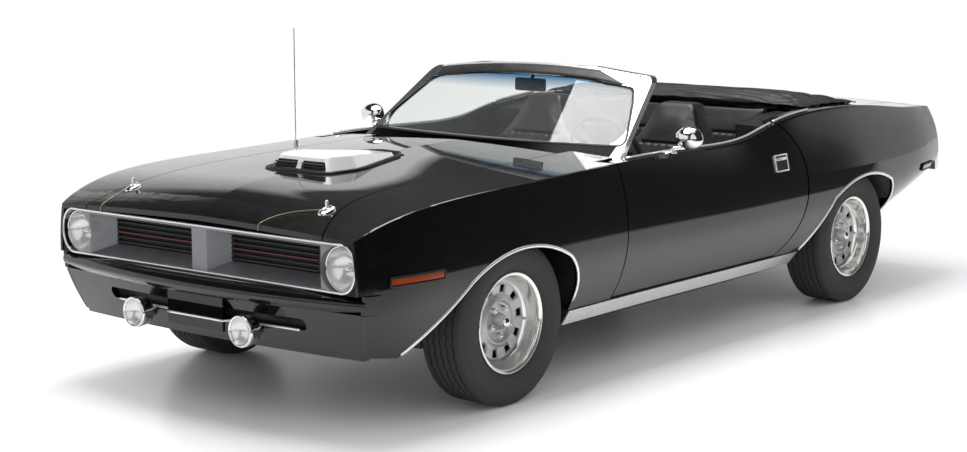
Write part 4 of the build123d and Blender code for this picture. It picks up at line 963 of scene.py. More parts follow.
@dataclass
class FrontEnd:
    """Grille mouldings, red lines, head and driving lamps."""

    front_x: float = 2.2895
    top_z: float = 0.7395
    low_z: float = 0.5625
    end_y: float = 0.745
    lamp_y: float = 0.724
    lamp_z: float = 0.646
    driving_x: float = 2.361
    driving_y: float = 0.296
    driving_z: float = 0.378
    end_reach: float = 0.062
    moulding_radius: float = 0.0042
    line_from: Point = (2.2145, 0.105, 0.6525)
    line_to: Point = (2.2155, 0.555, 0.6552)
    lamp_x: float = 2.246
    # profiles: radius, place forward
    bowl: tuple[tuple[float, float], ...] = (
        (0.081, 0.012), (0.070, -0.012), (0.050, -0.032), (0.025, -0.044), (0.0, -0.048),
    )
    bulb: tuple[tuple[float, float], ...] = ((0.018, -0.03), (0.016, -0.006), (0.0, 0.0))
    glass: tuple[tuple[float, float], ...] = (
        (0.082, 0.012), (0.076, 0.020), (0.060, 0.030), (0.036, 0.0365), (0.0, 0.0395),
    )
    rim: tuple[tuple[float, float], ...] = (
        (0.080, 0.004), (0.0805, 0.015), (0.084, 0.019), (0.0875, 0.016), (0.0878, 0.0),
    )
    driving_shell: tuple[tuple[float, float], ...] = (
        (0.0525, 0.002), (0.0545, 0.0085), (0.0590, 0.0085), (0.0615, 0.004), (0.0618, -0.010), (0.0600, -0.013),
        (0.0595, -0.030), (0.0540, -0.050), (0.0380, -0.068), (0.0120, -0.076), (0.0, -0.0765),
    )
    driving_bowl: tuple[tuple[float, float], ...] = ((0.0525, 0.002), (0.044, -0.014), (0.022, -0.027), (0.0, -0.031))
    driving_glass: tuple[tuple[float, float], ...] = ((0.053, 0.002), (0.046, 0.0060), (0.026, 0.0085), (0.0, 0.0092))
    stud_x: tuple[float, float] = (2.311, 2.235)
    stud_z: float = 0.358
    stud_radius: float = 0.009

    def build(self) -> None:
        """Make what the nose carries."""
        self.moulding()
        self.lines()
        for side, hand in SIDES:
            self.headlamp(side, hand)
            self.driving_lamp(side, hand)

    def moulding(self) -> None:
        """Make the bright strip round the grille's opening."""
        half = (self.top_z - self.low_z) / 2
        middle = (self.top_z + self.low_z) / 2
        line = [Vector((self.front_x, self.end_y * i / 12, self.top_z)) for i in range(-12, 13)]
        for hand, start in ((1, 90), (-1, -90)):
            for index in range(1, 16):
                turn = math.radians(start - 180 * index / 16)
                y = hand * (self.end_y + self.end_reach * abs(math.cos(turn)))
                line.append(Vector((self.front_x - 0.004, y, middle + half * math.sin(turn))))
            if hand > 0:
                line += [Vector((self.front_x, -self.end_y * i / 12, self.low_z)) for i in range(-12, 13)]
        bm = sweep(line, round_section(self.moulding_radius, 8), closed=True, up=(1, 0, 0))
        new_piece("grille_moulding", bm, BRUSHED, "body")

    def lines(self) -> None:
        """Make the thin red line across each insert."""
        bm = bmesh.new()
        (x0, inner, z0), (x1, outer, z1) = self.line_from, self.line_to
        for _, hand in SIDES:
            y0, y1 = sorted((hand * inner, hand * outer))
            block(bm, (x0, y0, z0), (x1, y1, z1))
        new_piece("grille_lines", bm, RED_LINE, "body", smooth=False)

    def headlamp(self, side: str, hand: int) -> None:
        """Make one headlamp.

        Args:
            side: left or right.
            hand: 1 or -1.
        """
        place = facing_forward(self.lamp_x, hand * self.lamp_y, self.lamp_z)
        new_piece(f"headlamp_bowl_{side}", spun(self.bowl, 48, place), REFLECTOR, "body")
        new_piece(f"headlamp_bulb_{side}", spun(self.bulb, 24, place), CHROME, "body")
        glass = new_piece(f"headlamp_glass_{side}", spun(self.glass, 48, place), LENS, "body")
        new_piece(f"headlamp_ring_{side}", spun(self.rim, 64, place), CHROME, "body")
        if hand > 0:
            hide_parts("front_lamps")

    def driving_lamp(self, side: str, hand: int) -> None:
        """Make one driving lamp with its chrome shell and stud.

        Args:
            side: left or right.
            hand: 1 or -1.
        """
        place = facing_forward(self.driving_x, hand * self.driving_y, self.driving_z)
        new_piece(f"driving_shell_{side}", spun(self.driving_shell, 56, place), CHROME, "body")
        new_piece(f"driving_bowl_{side}", spun(self.driving_bowl, 40, place), REFLECTOR, "body")
        lens = new_piece(f"driving_glass_{side}", spun(self.driving_glass, 40, place), LENS, "body")
        ends = [Vector((x, hand * self.driving_y, self.stud_z)) for x in self.stud_x]
        stud = sweep(ends, round_section(self.stud_radius, 12))
        new_piece(f"driving_stud_{side}", stud, CHROME, "body")


@dataclass
class DoorFittings:
    """Chrome mirrors on their stalks and flush door handles."""

    mirror: Point = (0.274, 0.917, 0.962)
    oval: Point = (1.13, 0.88, 1.0)
    # profiles: radius, place forward or up
    head: tuple[tuple[float, float], ...] = (
        (0.057, -0.018), (0.058, -0.014), (0.0565, 0.0), (0.050, 0.018), (0.036, 0.033), (0.018, 0.041), (0.0, 0.043),
    )
    glass: tuple[tuple[float, float], ...] = ((0.0545, -0.016), (0.0, -0.0165))
    base: tuple[tuple[float, float], ...] = ((0.0, 0.009), (0.018, 0.008), (0.026, 0.003), (0.027, -0.004))
    base_scale: Point = (1.5, 0.8, 1.0)
    foot: Point = (0.319, 0.856, 0.89)
    stalk_radius: float = 0.009
    handle: tuple[float, float] = (-0.529, 0.778)
    handle_half: float = 0.040
    # x from, x to, z from, z to, out
    bars: tuple[tuple[float, ...], ...] = (
        (-0.058, 0.058, 0.034, 0.041, 0.006), (-0.058, 0.058, -0.041, -0.034, 0.006),
        (-0.058, -0.051, -0.041, 0.041, 0.006), (0.051, 0.058, -0.041, 0.041, 0.006),
        (-0.048, 0.048, 0.012, 0.026, 0.005),
    )
    cup: tuple[float, float] = (0.052, 0.035)
    sunk: float = 0.006

    def build(self) -> None:
        """Make the fittings of both doors."""
        for side, hand in SIDES:
            body = f"door_{side}"
            x, y, z = self.mirror
            place = facing_forward(x, y * hand, z) @ Matrix.Diagonal((*self.oval, 1.0))
            made = new_piece(f"mirror_head_{side}", spun(self.head, 48, place), CHROME, body)
            new_piece(f"mirror_glass_{side}", spun(self.glass, 48, place), MIRROR, body)
            skin = Surface(f"door_{side}")
            foot_x, foot_y, foot_z = self.foot
            foot = skin.above(foot_x, hand * foot_y) or Vector((foot_x, hand * foot_y, foot_z))
            path = [foot + Vector((0, 0, 0.001)), foot + Vector((-0.008, 0.014 * hand, 0.020)),
                    Vector((x + 0.012, (y - 0.012) * hand, z - 0.040)), Vector((x + 0.004, y * hand, z - 0.020))]
            stalk = sweep(path, round_section(self.stalk_radius, 12), up=(0.3, hand, 0))
            new_piece(f"mirror_stalk_{side}", stalk, CHROME, body)
            seat = Matrix.Translation(foot) @ Matrix.Diagonal((*self.base_scale, 1.0))
            new_piece(f"mirror_base_{side}", spun(self.base, 32, seat), CHROME, body)
            self.door_handle(side, hand, skin)
            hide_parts(f"door_fittings_{side}")

    def door_handle(self, side: str, hand: int, skin: Surface) -> None:
        """Make one flush handle: a chrome frame, a dark cup and the lifting flap.

        Args:
            side: left or right.
            hand: 1 or -1.
            skin: the door's surface.
        """
        x, z = self.handle
        head, foot = (skin.beside(x, z + rise, hand) for rise in (self.handle_half, -self.handle_half))
        frame_bm = bmesh.new()
        slope = math.asin((foot.y - head.y) / (2 * self.handle_half))
        middle = (head.y + foot.y) / 2 + 0.002 * hand
        lean = Matrix.Translation((x, middle, z)) @ Matrix.Rotation(slope, 4, "X")
        for x0, x1, z0, z1, out in self.bars:
            y0, y1 = sorted((hand * -self.sunk, hand * out))
            block(frame_bm, (x0, y0, z0), (x1, y1, z1))
        bmesh.ops.transform(frame_bm, matrix=lean, verts=frame_bm.verts)
        made = new_piece(f"handle_frame_{side}", frame_bm, BRUSHED, f"door_{side}")
        edge = made.modifiers.new("edges", "BEVEL")
        edge.width, edge.segments = 0.0025, 3
        cup = bmesh.new()
        y0, y1 = sorted((hand * -self.sunk, hand * 0.0015))
        wide, tall = self.cup
        block(cup, (-wide, y0, -tall), (wide, y1, tall))
        bmesh.ops.transform(cup, matrix=lean, verts=cup.verts)
        new_piece(f"handle_cup_{side}", cup, SATIN_BLACK, f"door_{side}", smooth=False)


@dataclass
class BodySkin:
    """The painted panels, with the CAD's shape and the smooth shading of pressed steel."""

    form: BodyForm = field(default_factory=BodyForm)
    near: float = 0.006
    fillet: float = 0.016
    cut: float = 0.06
    panels: tuple[tuple[str, str], ...] = (
        ("hood", "hood"), ("front_fender_left", "body"), ("front_fender_right", "body"),
        ("quarter_left", "body"), ("quarter_right", "body"), ("door_left", "door_left"),
        ("door_right", "door_right"), ("trunk_lid", "trunk_lid"), ("rear_deck", "body"),
    )

    def build(self) -> None:
        """Make every painted panel."""
        for node, body in self.panels:
            self.panel(node, body)

    def panel(self, node: str, body: str) -> None:
        """Copy one CAD panel, cut it finely and give it the form's normals.

        Args:
            node: the CAD node.
            body: the body that carries it.
        """
        bm = bmesh.new()
        bm.from_mesh(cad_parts[node].data)
        bmesh.ops.remove_doubles(bm, verts=bm.verts, dist=2e-5)
        low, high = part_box(node)
        for axis in range(3):
            direction = Vector([1.0 if axis == other else 0.0 for other in range(3)])
            count = int((high[axis] - low[axis]) / self.cut)
            for index in range(1, count + 1):
                place = low[axis] + (high[axis] - low[axis]) * index / (count + 1)
                geometry = [*bm.verts, *bm.edges, *bm.faces]
                bmesh.ops.bisect_plane(bm, geom=geometry, dist=1e-6, plane_co=direction * place, plane_no=direction)
        for level in (-1.0, -0.5, 0.5, 1.0):
            self.shoulder_cut(bm, level * self.fillet)
        made = new_piece(node + "_skin", bm, PAINT, body)
        self.shade(made.data)
        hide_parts(node)

    def shoulder_cut(self, bm: bmesh.types.BMesh, level: float) -> None:
        """Cut the faces along a line beside the shoulder.

        Args:
            bm: the panel.
            level: the line's place across the shoulder.
        """
        points = np.array([v.co for v in bm.verts])
        side, top, across, _, _ = self.form.fields(points[:, 0], np.abs(points[:, 1]), points[:, 2])
        on_form = np.minimum(np.abs(side), np.abs(top)) < self.near
        value = dict(zip(bm.verts, across - level))
        good = dict(zip(bm.verts, on_form))
        made = []
        for edge in list(bm.edges):
            start, end = edge.verts
            a, b = value[start], value[end]
            if good[start] and good[end] and a * b < 0 and min(abs(a), abs(b)) > 1e-4:
                made.append(bmesh.utils.edge_split(edge, start, a / (a - b))[1])
        if made:
            bmesh.ops.connect_verts(bm, verts=made)

    def shade(self, mesh: bpy.types.Mesh) -> None:
        """Set the panel's normals: the form's on its outside, the faces' own elsewhere.

        Args:
            mesh: the panel's mesh.
        """
        points = np.array([v.co for v in mesh.vertices])
        side, top, _, _, _ = self.form.fields(points[:, 0], np.abs(points[:, 1]), points[:, 2])
        on_form = np.minimum(np.abs(side), np.abs(top)) < self.near
        count = len(mesh.polygons)
        centres, flat = np.empty(count * 3), np.empty(count * 3)
        corners, owners = np.empty(count, int), np.empty(len(mesh.loops), int)
        mesh.polygons.foreach_get("center", centres)
        mesh.polygons.foreach_get("normal", flat)
        mesh.polygons.foreach_get("loop_total", corners)
        mesh.loops.foreach_get("vertex_index", owners)
        centres, face = centres.reshape(-1, 3), np.repeat(np.arange(count), corners)
        flat = flat.reshape(-1, 3)[face]
        hands = np.where(centres[:, 1] >= 0, 1.0, -1.0)[face]
        mids = self.form.fields(centres[:, 0], np.abs(centres[:, 1]), centres[:, 2])[2][face]
        places = points[owners]
        here = self.form.fields(places[:, 0], np.abs(places[:, 1]), places[:, 2])[2]
        share = np.clip((here + self.fillet) / (2 * self.fillet), 0, 1)
        share = share * share * (3 - 2 * share)
        share = np.where(np.abs(mids) > self.fillet, (mids > 0).astype(float), share)
        wanted = self.form.normals(places, hands, share)
        use = on_form[owners] & (np.einsum("ij,ij->i", wanted, flat) > 0.8)
        mesh.normals_split_custom_set(np.where(use[:, None], wanted, flat).tolist())


@dataclass
class Screen:
    """The windscreen's black gasket, its header and the inner mirror."""

    foot_half: float = 0.726
    head_half: float = 0.586
    foot_z: float = 0.930
    corner_z: float = 1.160
    crown: float = 0.036
    gasket: float = 0.007
    header_top: float = 1.2405
    header_drop: float = 0.036
    lean: float = 1.36
    # at the foot, at the head
    corner_reach: tuple[float, float] = (0.045, 0.075)
    run_steps: int = 12
    header_ends: tuple[float, float] = (-0.585, 0.520)
    header_fade: float = 0.16
    header_steps: int = 48
    strip_half: float = 0.575
    strip_radius: float = 0.007
    mirror_z: float = 1.143
    mirror_half: tuple[float, float] = (0.086, 0.030)
    mirror_gap: float = 0.030
    mirror_depth: float = 0.012
    mirror_rim: float = 0.008

    def outline(self) -> list[tuple[float, float]]:
        """Return the daylight opening's outline, y against z, closed."""
        corners = [(-self.foot_half, self.foot_z), (self.foot_half, self.foot_z), (self.head_half, self.corner_z),
                   (-self.head_half, self.corner_z)]
        points = []
        for index, corner in enumerate(corners):
            here, after = Vector(corner), Vector(corners[(index + 1) % 4])
            before = Vector(corners[index - 1])
            reach = self.corner_reach[index // 2]
            start, end = here + (before - here).normalized() * reach, here + (after - here).normalized() * reach
            for share in (0.0, 0.25, 0.5, 0.75, 1.0):
                points.append(start.lerp(here, share).lerp(here.lerp(end, share), share))
            stop = after + (here - after).normalized() * self.corner_reach[(index + 1) % 4 // 2]
            points += [end.lerp(stop, step / self.run_steps) for step in range(1, self.run_steps)]
        lifted = []
        for y, z in points:
            near = min(1.0, max(0.0, (z - self.corner_z + 0.08) / 0.08))
            lifted.append((y, z + near * self.crown * max(0.0, 1 - (y / self.head_half) ** 2)))
        return lifted

    def top_at(self, y: float) -> float:
        """Give the height of the header's top.

        Args:
            y: the place across the car.

        Returns:
            The height there.
        """
        return self.header_top - self.header_drop * (y / self.head_half) ** 2

    def face(self, skin: Surface, y: float, z: float) -> Vector:
        """Find the frame's leaning front face.

        Args:
            skin: the frame's surface.
            y: the place across the car.
            z: the height.

        Returns:
            The face's point there.
        """
        level = self.top_at(y) - 0.020
        met = skin.ahead(y, level)
        return Vector((met.x + (level - z) * self.lean, y, z))

    def build(self) -> None:
        """Make the pieces round the glass."""
        skin = Surface("windscreen_frame")
        glass = Surface("windscreen")
        line = []
        for y, z in self.outline():
            out = Vector((y, z - 0.5 * (self.foot_z + self.corner_z))).normalized() * 0.006
            met = skin.ahead(y + out.x, z + out.y) or glass.ahead(y, z)
            if met:
                line.append(Vector((met.x - 0.002, y, z)))
        bm = sweep(line, round_section(self.gasket, 8, 0.6), closed=True, up=(0.62, 0, 0.78))
        new_piece("screen_gasket", bm, SEAL, "body")
        self.header(skin)
        self.inner_mirror(glass)

    def header(self, skin: Surface) -> None:
        """Make the header's black face and the bright strip along its top.

        Args:
            skin: the frame's surface.
        """
        bm = bmesh.new()
        rows = []
        first, last = self.header_ends
        places = [first + (last - first) * index / self.header_steps for index in range(self.header_steps + 1)]
        for share in (0.0, 0.33, 0.66, 1.0):
            row = []
            for y in places:
                low = self.corner_z + self.crown * max(0.0, 1 - (y / self.head_half) ** 2) + 0.004
                end = min(1.0, (last - y) / self.header_fade)
                z = low + (self.top_at(y) - 0.004 - low) * share * max(0.04, end)
                row.append(bm.verts.new(self.face(skin, y, z) + Vector((0.0022, 0, 0.0016))))
            rows.append(row)
        for here, there in zip(rows, rows[1:]):
            for index in range(len(places) - 1):
                bm.faces.new((here[index], here[index + 1], there[index + 1], there[index]))
        panel = new_piece("header_face", bm, SATIN_BLACK, "body")
        panel.modifiers.new("wall", "SOLIDIFY").thickness = 0.002
        line = [self.face(skin, self.strip_half * (index / 24 - 1), 0.0) for index in range(49)]
        for point in line:
            high = self.top_at(point.y)
            point.x -= high * self.lean
            point.z = high - 0.001
        strip = sweep(line, round_section(self.strip_radius, 10, 0.6), up=(0.6, 0, 0.8))
        new_piece("header_strip", strip, BRUSHED, "body")

    def inner_mirror(self, glass: Surface) -> None:
        """Make the mirror that hangs from the header, close behind the glass.

        Args:
            glass: the windscreen's surface.
        """
        wide, tall = self.mirror_half
        deep, rim, z = self.mirror_depth, self.mirror_rim, self.mirror_z
        x = glass.ahead(0.0, z + tall).x - self.mirror_gap
        case = bmesh.new()
        block(case, (x - deep, -wide, z - tall), (x + deep, wide, z + tall))
        made = new_piece("inner_mirror_case", case, BLACK_PLASTIC, "body")
        edge = made.modifiers.new("edges", "BEVEL")
        edge.width, edge.segments = 0.010, 4
        plate = bmesh.new()
        block(plate, (x - deep - 0.0015, rim - wide, z - tall + rim), (x - deep - 0.0005, wide - rim, z + tall - rim))
        new_piece("inner_mirror_glass", plate, MIRROR, "body", smooth=False)
        stalk = sweep([Vector((x - 0.006, 0, z + tall - rim)), Vector((x - 0.024, 0, z + tall + 0.012)),
                       Vector((x - 0.060, 0, z + tall + 0.042))], round_section(0.007, 10), up=(0, 1, 0))
        new_piece("inner_mirror_stalk", stalk, BLACK_PLASTIC, "body")


@dataclass
class Scoop:
    """The scoop's black seal, the dark nostrils and their level bars."""

    front_x: float = 1.751
    # x behind the front, half width
    plan: tuple[tuple[float, float], ...] = ((0.0, 0.165), (0.150, 0.205), (0.540, 0.095))
    seal: float = 0.0072
    seal_out: tuple[float, float] = (0.0066, 0.024)
    # y, z of the left nostril's outline
    nostril: tuple[tuple[float, float], ...] = ((0.0155, 0.8995), (0.1475, 0.8995), (0.127, 0.9365), (0.0155, 0.9365))
    throat: tuple[float, float] = (0.030, 0.1295)
    bars: tuple[float, ...] = (0.908, 0.918, 0.928)
    bar_x: tuple[float, float] = (0.026, 0.012)
    bar_y: tuple[float, float] = (0.0150, 0.1485)
    bar_foot: float = 0.898
    bar_lean: float = 0.55
    bar_half: float = 0.0018

    def corners(self, grow: float) -> list[Vector]:
        """Give the plan's corners, grown outwards.

        Args:
            grow: how far they move out.

        Returns:
            The corners in order.
        """
        front, wide, tail = self.plan
        x0, x1, x2 = self.front_x + grow, self.front_x - wide[0], self.front_x - tail[0] - grow
        left = [Vector((x0, front[1] + grow, 0)), Vector((x1, wide[1] + grow, 0)), Vector((x2, tail[1] + grow, 0))]
        return left + [Vector((v.x, -v.y, 0)) for v in left[::-1]]

    def build(self) -> None:
        """Make the scoop's fittings."""
        self.seal_ring()
        for side, hand in SIDES:
            dark = bmesh.new()
            rings = [[dark.verts.new((self.front_x - back, hand * y, z)) for y, z in self.nostril]
                     for back in self.throat]
            dark.faces.new(rings[0])
            dark.faces.new(rings[1][::-1])
            for index in range(4):
                other = (index + 1) % 4
                dark.faces.new((rings[0][index], rings[1][index], rings[1][other], rings[0][other]))
            new_piece(f"scoop_throat_{side}", dark, SATIN_BLACK, "body", smooth=False)
            level = bmesh.new()
            inner, outer = self.bar_y
            back, front = (self.front_x - behind for behind in self.bar_x)
            for z in self.bars:
                y0, y1 = sorted((hand * inner, hand * (outer - (z - self.bar_foot) * self.bar_lean)))
                block(level, (back, y0, z - self.bar_half), (front, y1, z + self.bar_half))
            new_piece(f"scoop_bars_{side}", level, BLACK_PLASTIC, "body", smooth=False)

    def seal_ring(self) -> None:
        """Make the thick rubber seal between scoop and hood."""
        hood_skin = Surface("hood")
        inner, outer = (self.corners(grow) for grow in self.seal_out)
        line = []
        for index in range(len(inner)):
            other = (index + 1) % len(inner)
            for share in (0.12, 0.3, 0.5, 0.7, 0.88):
                near = inner[index].lerp(inner[other], share)
                edge = outer[index].lerp(outer[other], share)
                met = hood_skin.above(edge.x, edge.y)
                if met:
                    line.append(Vector((near.x, near.y, met.z + 0.001)))
        bm = sweep(line, round_section(self.seal, 10, 1.5), closed=True)
        new_piece("scoop_seal", bm, SEAL, "body")


@dataclass
class HoodPins:
    """Chrome plates and clips round the hood pins, with their wire lanyards."""

    pin: tuple[float, float] = (2.141, 0.536)
    plate: tuple[float, float] = (0.040, 0.026)
    # share of the plate's half sizes, height
    plate_profile: tuple[tuple[float, float], ...] = (
        (0.34, 0.0090), (0.40, 0.0105), (0.62, 0.0085), (0.85, 0.0070), (1.0, 0.0030), (1.02, -0.004),
    )
    # radius, height of the sleeve's top
    sleeve: tuple[tuple[float, float], ...] = ((0.0062, 0.8655), (0.0050, 0.8670), (0.0, 0.8675))
    seat_x: float = 0.02
    clip: tuple[float, float] = (0.019, 0.0018)
    clip_lift: float = 0.014
    wire: float = 0.0024
    edge_x: float = 2.283
    # x, drop of the lanyard's end over the hood's front edge
    fall: tuple[tuple[float, float], ...] = ((2.2905, 0.0045), (2.2945, 0.0115), (2.2955, 0.0200), (2.2945, 0.0300))
    # side, hand, y of the far end
    lanyards: tuple[tuple[str, int, float], ...] = (("left", 1, 0.330), ("right", -1, -0.560))

    def build(self) -> None:
        """Make the pins' fittings on both sides."""
        skin = Surface("hood")
        for side, hand, far_y in self.lanyards:
            x, y = self.pin[0], self.pin[1] * hand
            top = skin.above(x + self.seat_x, y).z
            lie = self.lie(skin, x, y) @ Matrix.Diagonal((*self.plate, 1.0, 1.0))
            made = new_piece(f"pin_plate_{side}", spun(self.plate_profile, 48, lie), CHROME, "hood")
            sleeve = ((self.sleeve[0][0], top - 0.002), *self.sleeve)
            new_piece(f"pin_sleeve_{side}", spun(sleeve, 24, Matrix.Translation((x, y, 0))), CHROME, "body")
            radius, wire = self.clip
            height = top + self.clip_lift
            line = [Vector((x + radius * math.cos(t), y + radius * math.sin(t), height + 0.004 * math.sin(t)))
                    for t in (2 * math.pi * i / 24 for i in range(24))]
            ring = sweep(line, round_section(wire, 8), closed=True)
            new_piece(f"pin_clip_{side}", ring, CHROME, "hood")
            self.lanyard(side, Vector((x + radius, y, height)), far_y, skin)

    def lie(self, skin: Surface, x: float, y: float) -> Matrix:
        """Find the place of a flat piece that lies on the hood.

        Args:
            skin: the hood's surface.
            x: the place along the car.
            y: the place across it.

        Returns:
            The matrix that puts it there.
        """
        seat = x + self.seat_x
        here, ahead, aside = skin.above(seat, y), skin.above(seat + 0.03, y), skin.above(seat, y + 0.03)
        along, across = (ahead - here).normalized(), (aside - here).normalized()
        up = along.cross(across).normalized()
        turn = Matrix((along, up.cross(along), up)).transposed().to_4x4()
        return Matrix.Translation(here - along * self.seat_x + up * 0.001) @ turn

    def lanyard(self, side: str, start: Vector, far_y: float, skin: Surface) -> None:
        """Lay one lanyard over the hood, from the clip into the gap above the grille.

        Args:
            side: left or right.
            start: the point where it leaves the clip.
            far_y: where it goes over the hood's front edge.
            skin: the hood's surface.
        """
        end = Vector((self.edge_x, far_y, 0.0))
        bend = Vector((start.x + 0.020, start.y + (far_y - start.y) * 0.75, 0.0))
        path = [start]
        for index in range(1, 21):
            share = index / 20
            flat = start.lerp(bend, share).lerp(bend.lerp(end, share), share)
            met = skin.above(flat.x, flat.y)
            path.append(Vector((flat.x, flat.y, met.z + 0.004 + 0.010 * (1 - share) ** 3)))
        edge = path[-1]
        path += [Vector((x, far_y, edge.z - drop)) for x, drop in self.fall]
        bm = sweep(path, round_section(self.wire / 2, 8), up=(0.6, 0, 0.8))
        made = new_piece(f"lanyard_{side}", bm, WIRE, "hood")


@dataclass
class SmallTrim:
    """The valance's slot with its bright bar, the side markers' frames and the walls behind the rear wheels."""

    rear_axle: tuple[float, float] = (-1.309, 0.329)
    splash: float = 0.395
    lip_search: tuple[float, ...] = (0.0, 0.015, 0.030, 0.045, 0.060, 0.080)
    lip_y: float = 0.880
    wall_turns: tuple[float, float] = (88.0, 162.0)
    wall_y: tuple[float, ...] = (0.560, 0.700, 0.820)
    wall_steps: int = 20
    # z, place behind the valance's face
    duct: tuple[tuple[float, float], ...] = ((0.386, 0.020), (0.392, 0.045), (0.442, 0.045), (0.448, 0.020))
    duct_half: float = 0.555
    duct_end: float = 0.012
    duct_steps: int = 28
    slot_foot: float = 0.380
    bar_half: float = 0.50
    bar_z: float = 0.397
    # panel, x from, x to, z from, z to
    markers: tuple[tuple[str, float, float, float, float], ...] = (
        ("front_fender", 1.900, 2.160, 0.582, 0.612), ("quarter", -2.211, -2.031, 0.594, 0.624),
    )

    def build(self) -> None:
        """Make the small bright and dark trim."""
        skin = Surface("front_valance")
        line = []
        for index in range(41):
            y = self.bar_half * (index / 20 - 1)
            met = skin.ahead(y, self.bar_z - 0.014)
            if met:
                line.append(Vector((met.x + 0.001, y, self.bar_z - 0.004)))
        new_piece("valance_bar", sweep(line, round_section(0.005, 8)), BRUSHED, "body")
        self.slot_back(skin)
        for panel, x0, x1, z0, z1 in self.markers:
            for side, hand in SIDES:
                self.marker(f"{panel}_{side}", hand, (x0, x1, z0, z1))
        for side, hand in SIDES:
            self.wheelhouse(side, hand)

    def slot_back(self, skin: Surface) -> None:
        """Make the dark duct behind the valance's slot.

        Args:
            skin: the valance's surface.
        """
        bm = bmesh.new()
        rows = []
        for z, back in self.duct:
            row = []
            for index in range(self.duct_steps + 1):
                y = self.duct_half * (2 * index / self.duct_steps - 1)
                met = skin.ahead(y, self.slot_foot)
                row.append(bm.verts.new((met.x - (self.duct_end if index in (0, self.duct_steps) else back), y, z)))
            rows.append(row)
        for here, there in zip(rows, rows[1:]):
            for index in range(self.duct_steps):
                bm.faces.new((here[index], here[index + 1], there[index + 1], there[index]))
        new_piece("slot_duct", bm, SATIN_BLACK, "body")

    def wheelhouse(self, side: str, hand: int) -> None:
        """Make the splash wall behind one rear wheel.

        Args:
            side: left or right.
            hand: the side of the car.
        """
        x, z = self.rear_axle
        skin = Surface(f"quarter_{side}")
        bm = bmesh.new()
        columns = []
        first, last = self.wall_turns
        for index in range(self.wall_steps + 1):
            turn = math.radians(first + (last - first) * index / self.wall_steps)
            place = (x + self.splash * math.cos(turn), z + self.splash * math.sin(turn))
            reach = (Vector((math.cos(turn), math.sin(turn))) * (self.splash + out) for out in self.lip_search)
            met = next(filter(None, (skin.beside(x + step.x, z + step.y, hand) for step in reach)), None)
            edge = abs(met.y) - 0.012 if met else self.lip_y
            columns.append([bm.verts.new((place[0], y * hand, place[1])) for y in (*self.wall_y, edge)])
        for here, there in zip(columns, columns[1:]):
            for index in range(len(self.wall_y)):
                bm.faces.new((here[index], here[index + 1], there[index + 1], there[index]))
        wall = new_piece(f"splash_wall_{side}", bm, UNDERBODY, "body")
        wall.modifiers.new("wall", "SOLIDIFY").thickness = 0.002

    def marker(self, panel: str, hand: int, box: tuple[float, float, float, float]) -> None:
        """Make the frame round one marker lamp.

        Args:
            panel: the panel that carries it.
            hand: the side of the car.
            box: its ends along X and Z.
        """
        x0, x1, z0, z1 = box
        skin = Surface(panel)
        corners = [(x0, z0), (x1, z0), (x1, z1), (x0, z1)]
        line = []
        for index, corner in enumerate(corners):
            after = corners[(index + 1) % 4]
            for share in (0.03, 0.35, 0.65, 0.97):
                x, z = (a + (b - a) * share for a, b in zip(corner, after))
                met = skin.beside(x, z, hand)
                line.append(Vector((x, met.y + 0.005 * hand, z)))
        bm = sweep(line, round_section(0.006, 8), closed=True, up=(0, hand, 0))
        new_piece(f"marker_frame_{panel}", bm, SATIN_BLACK, "body")


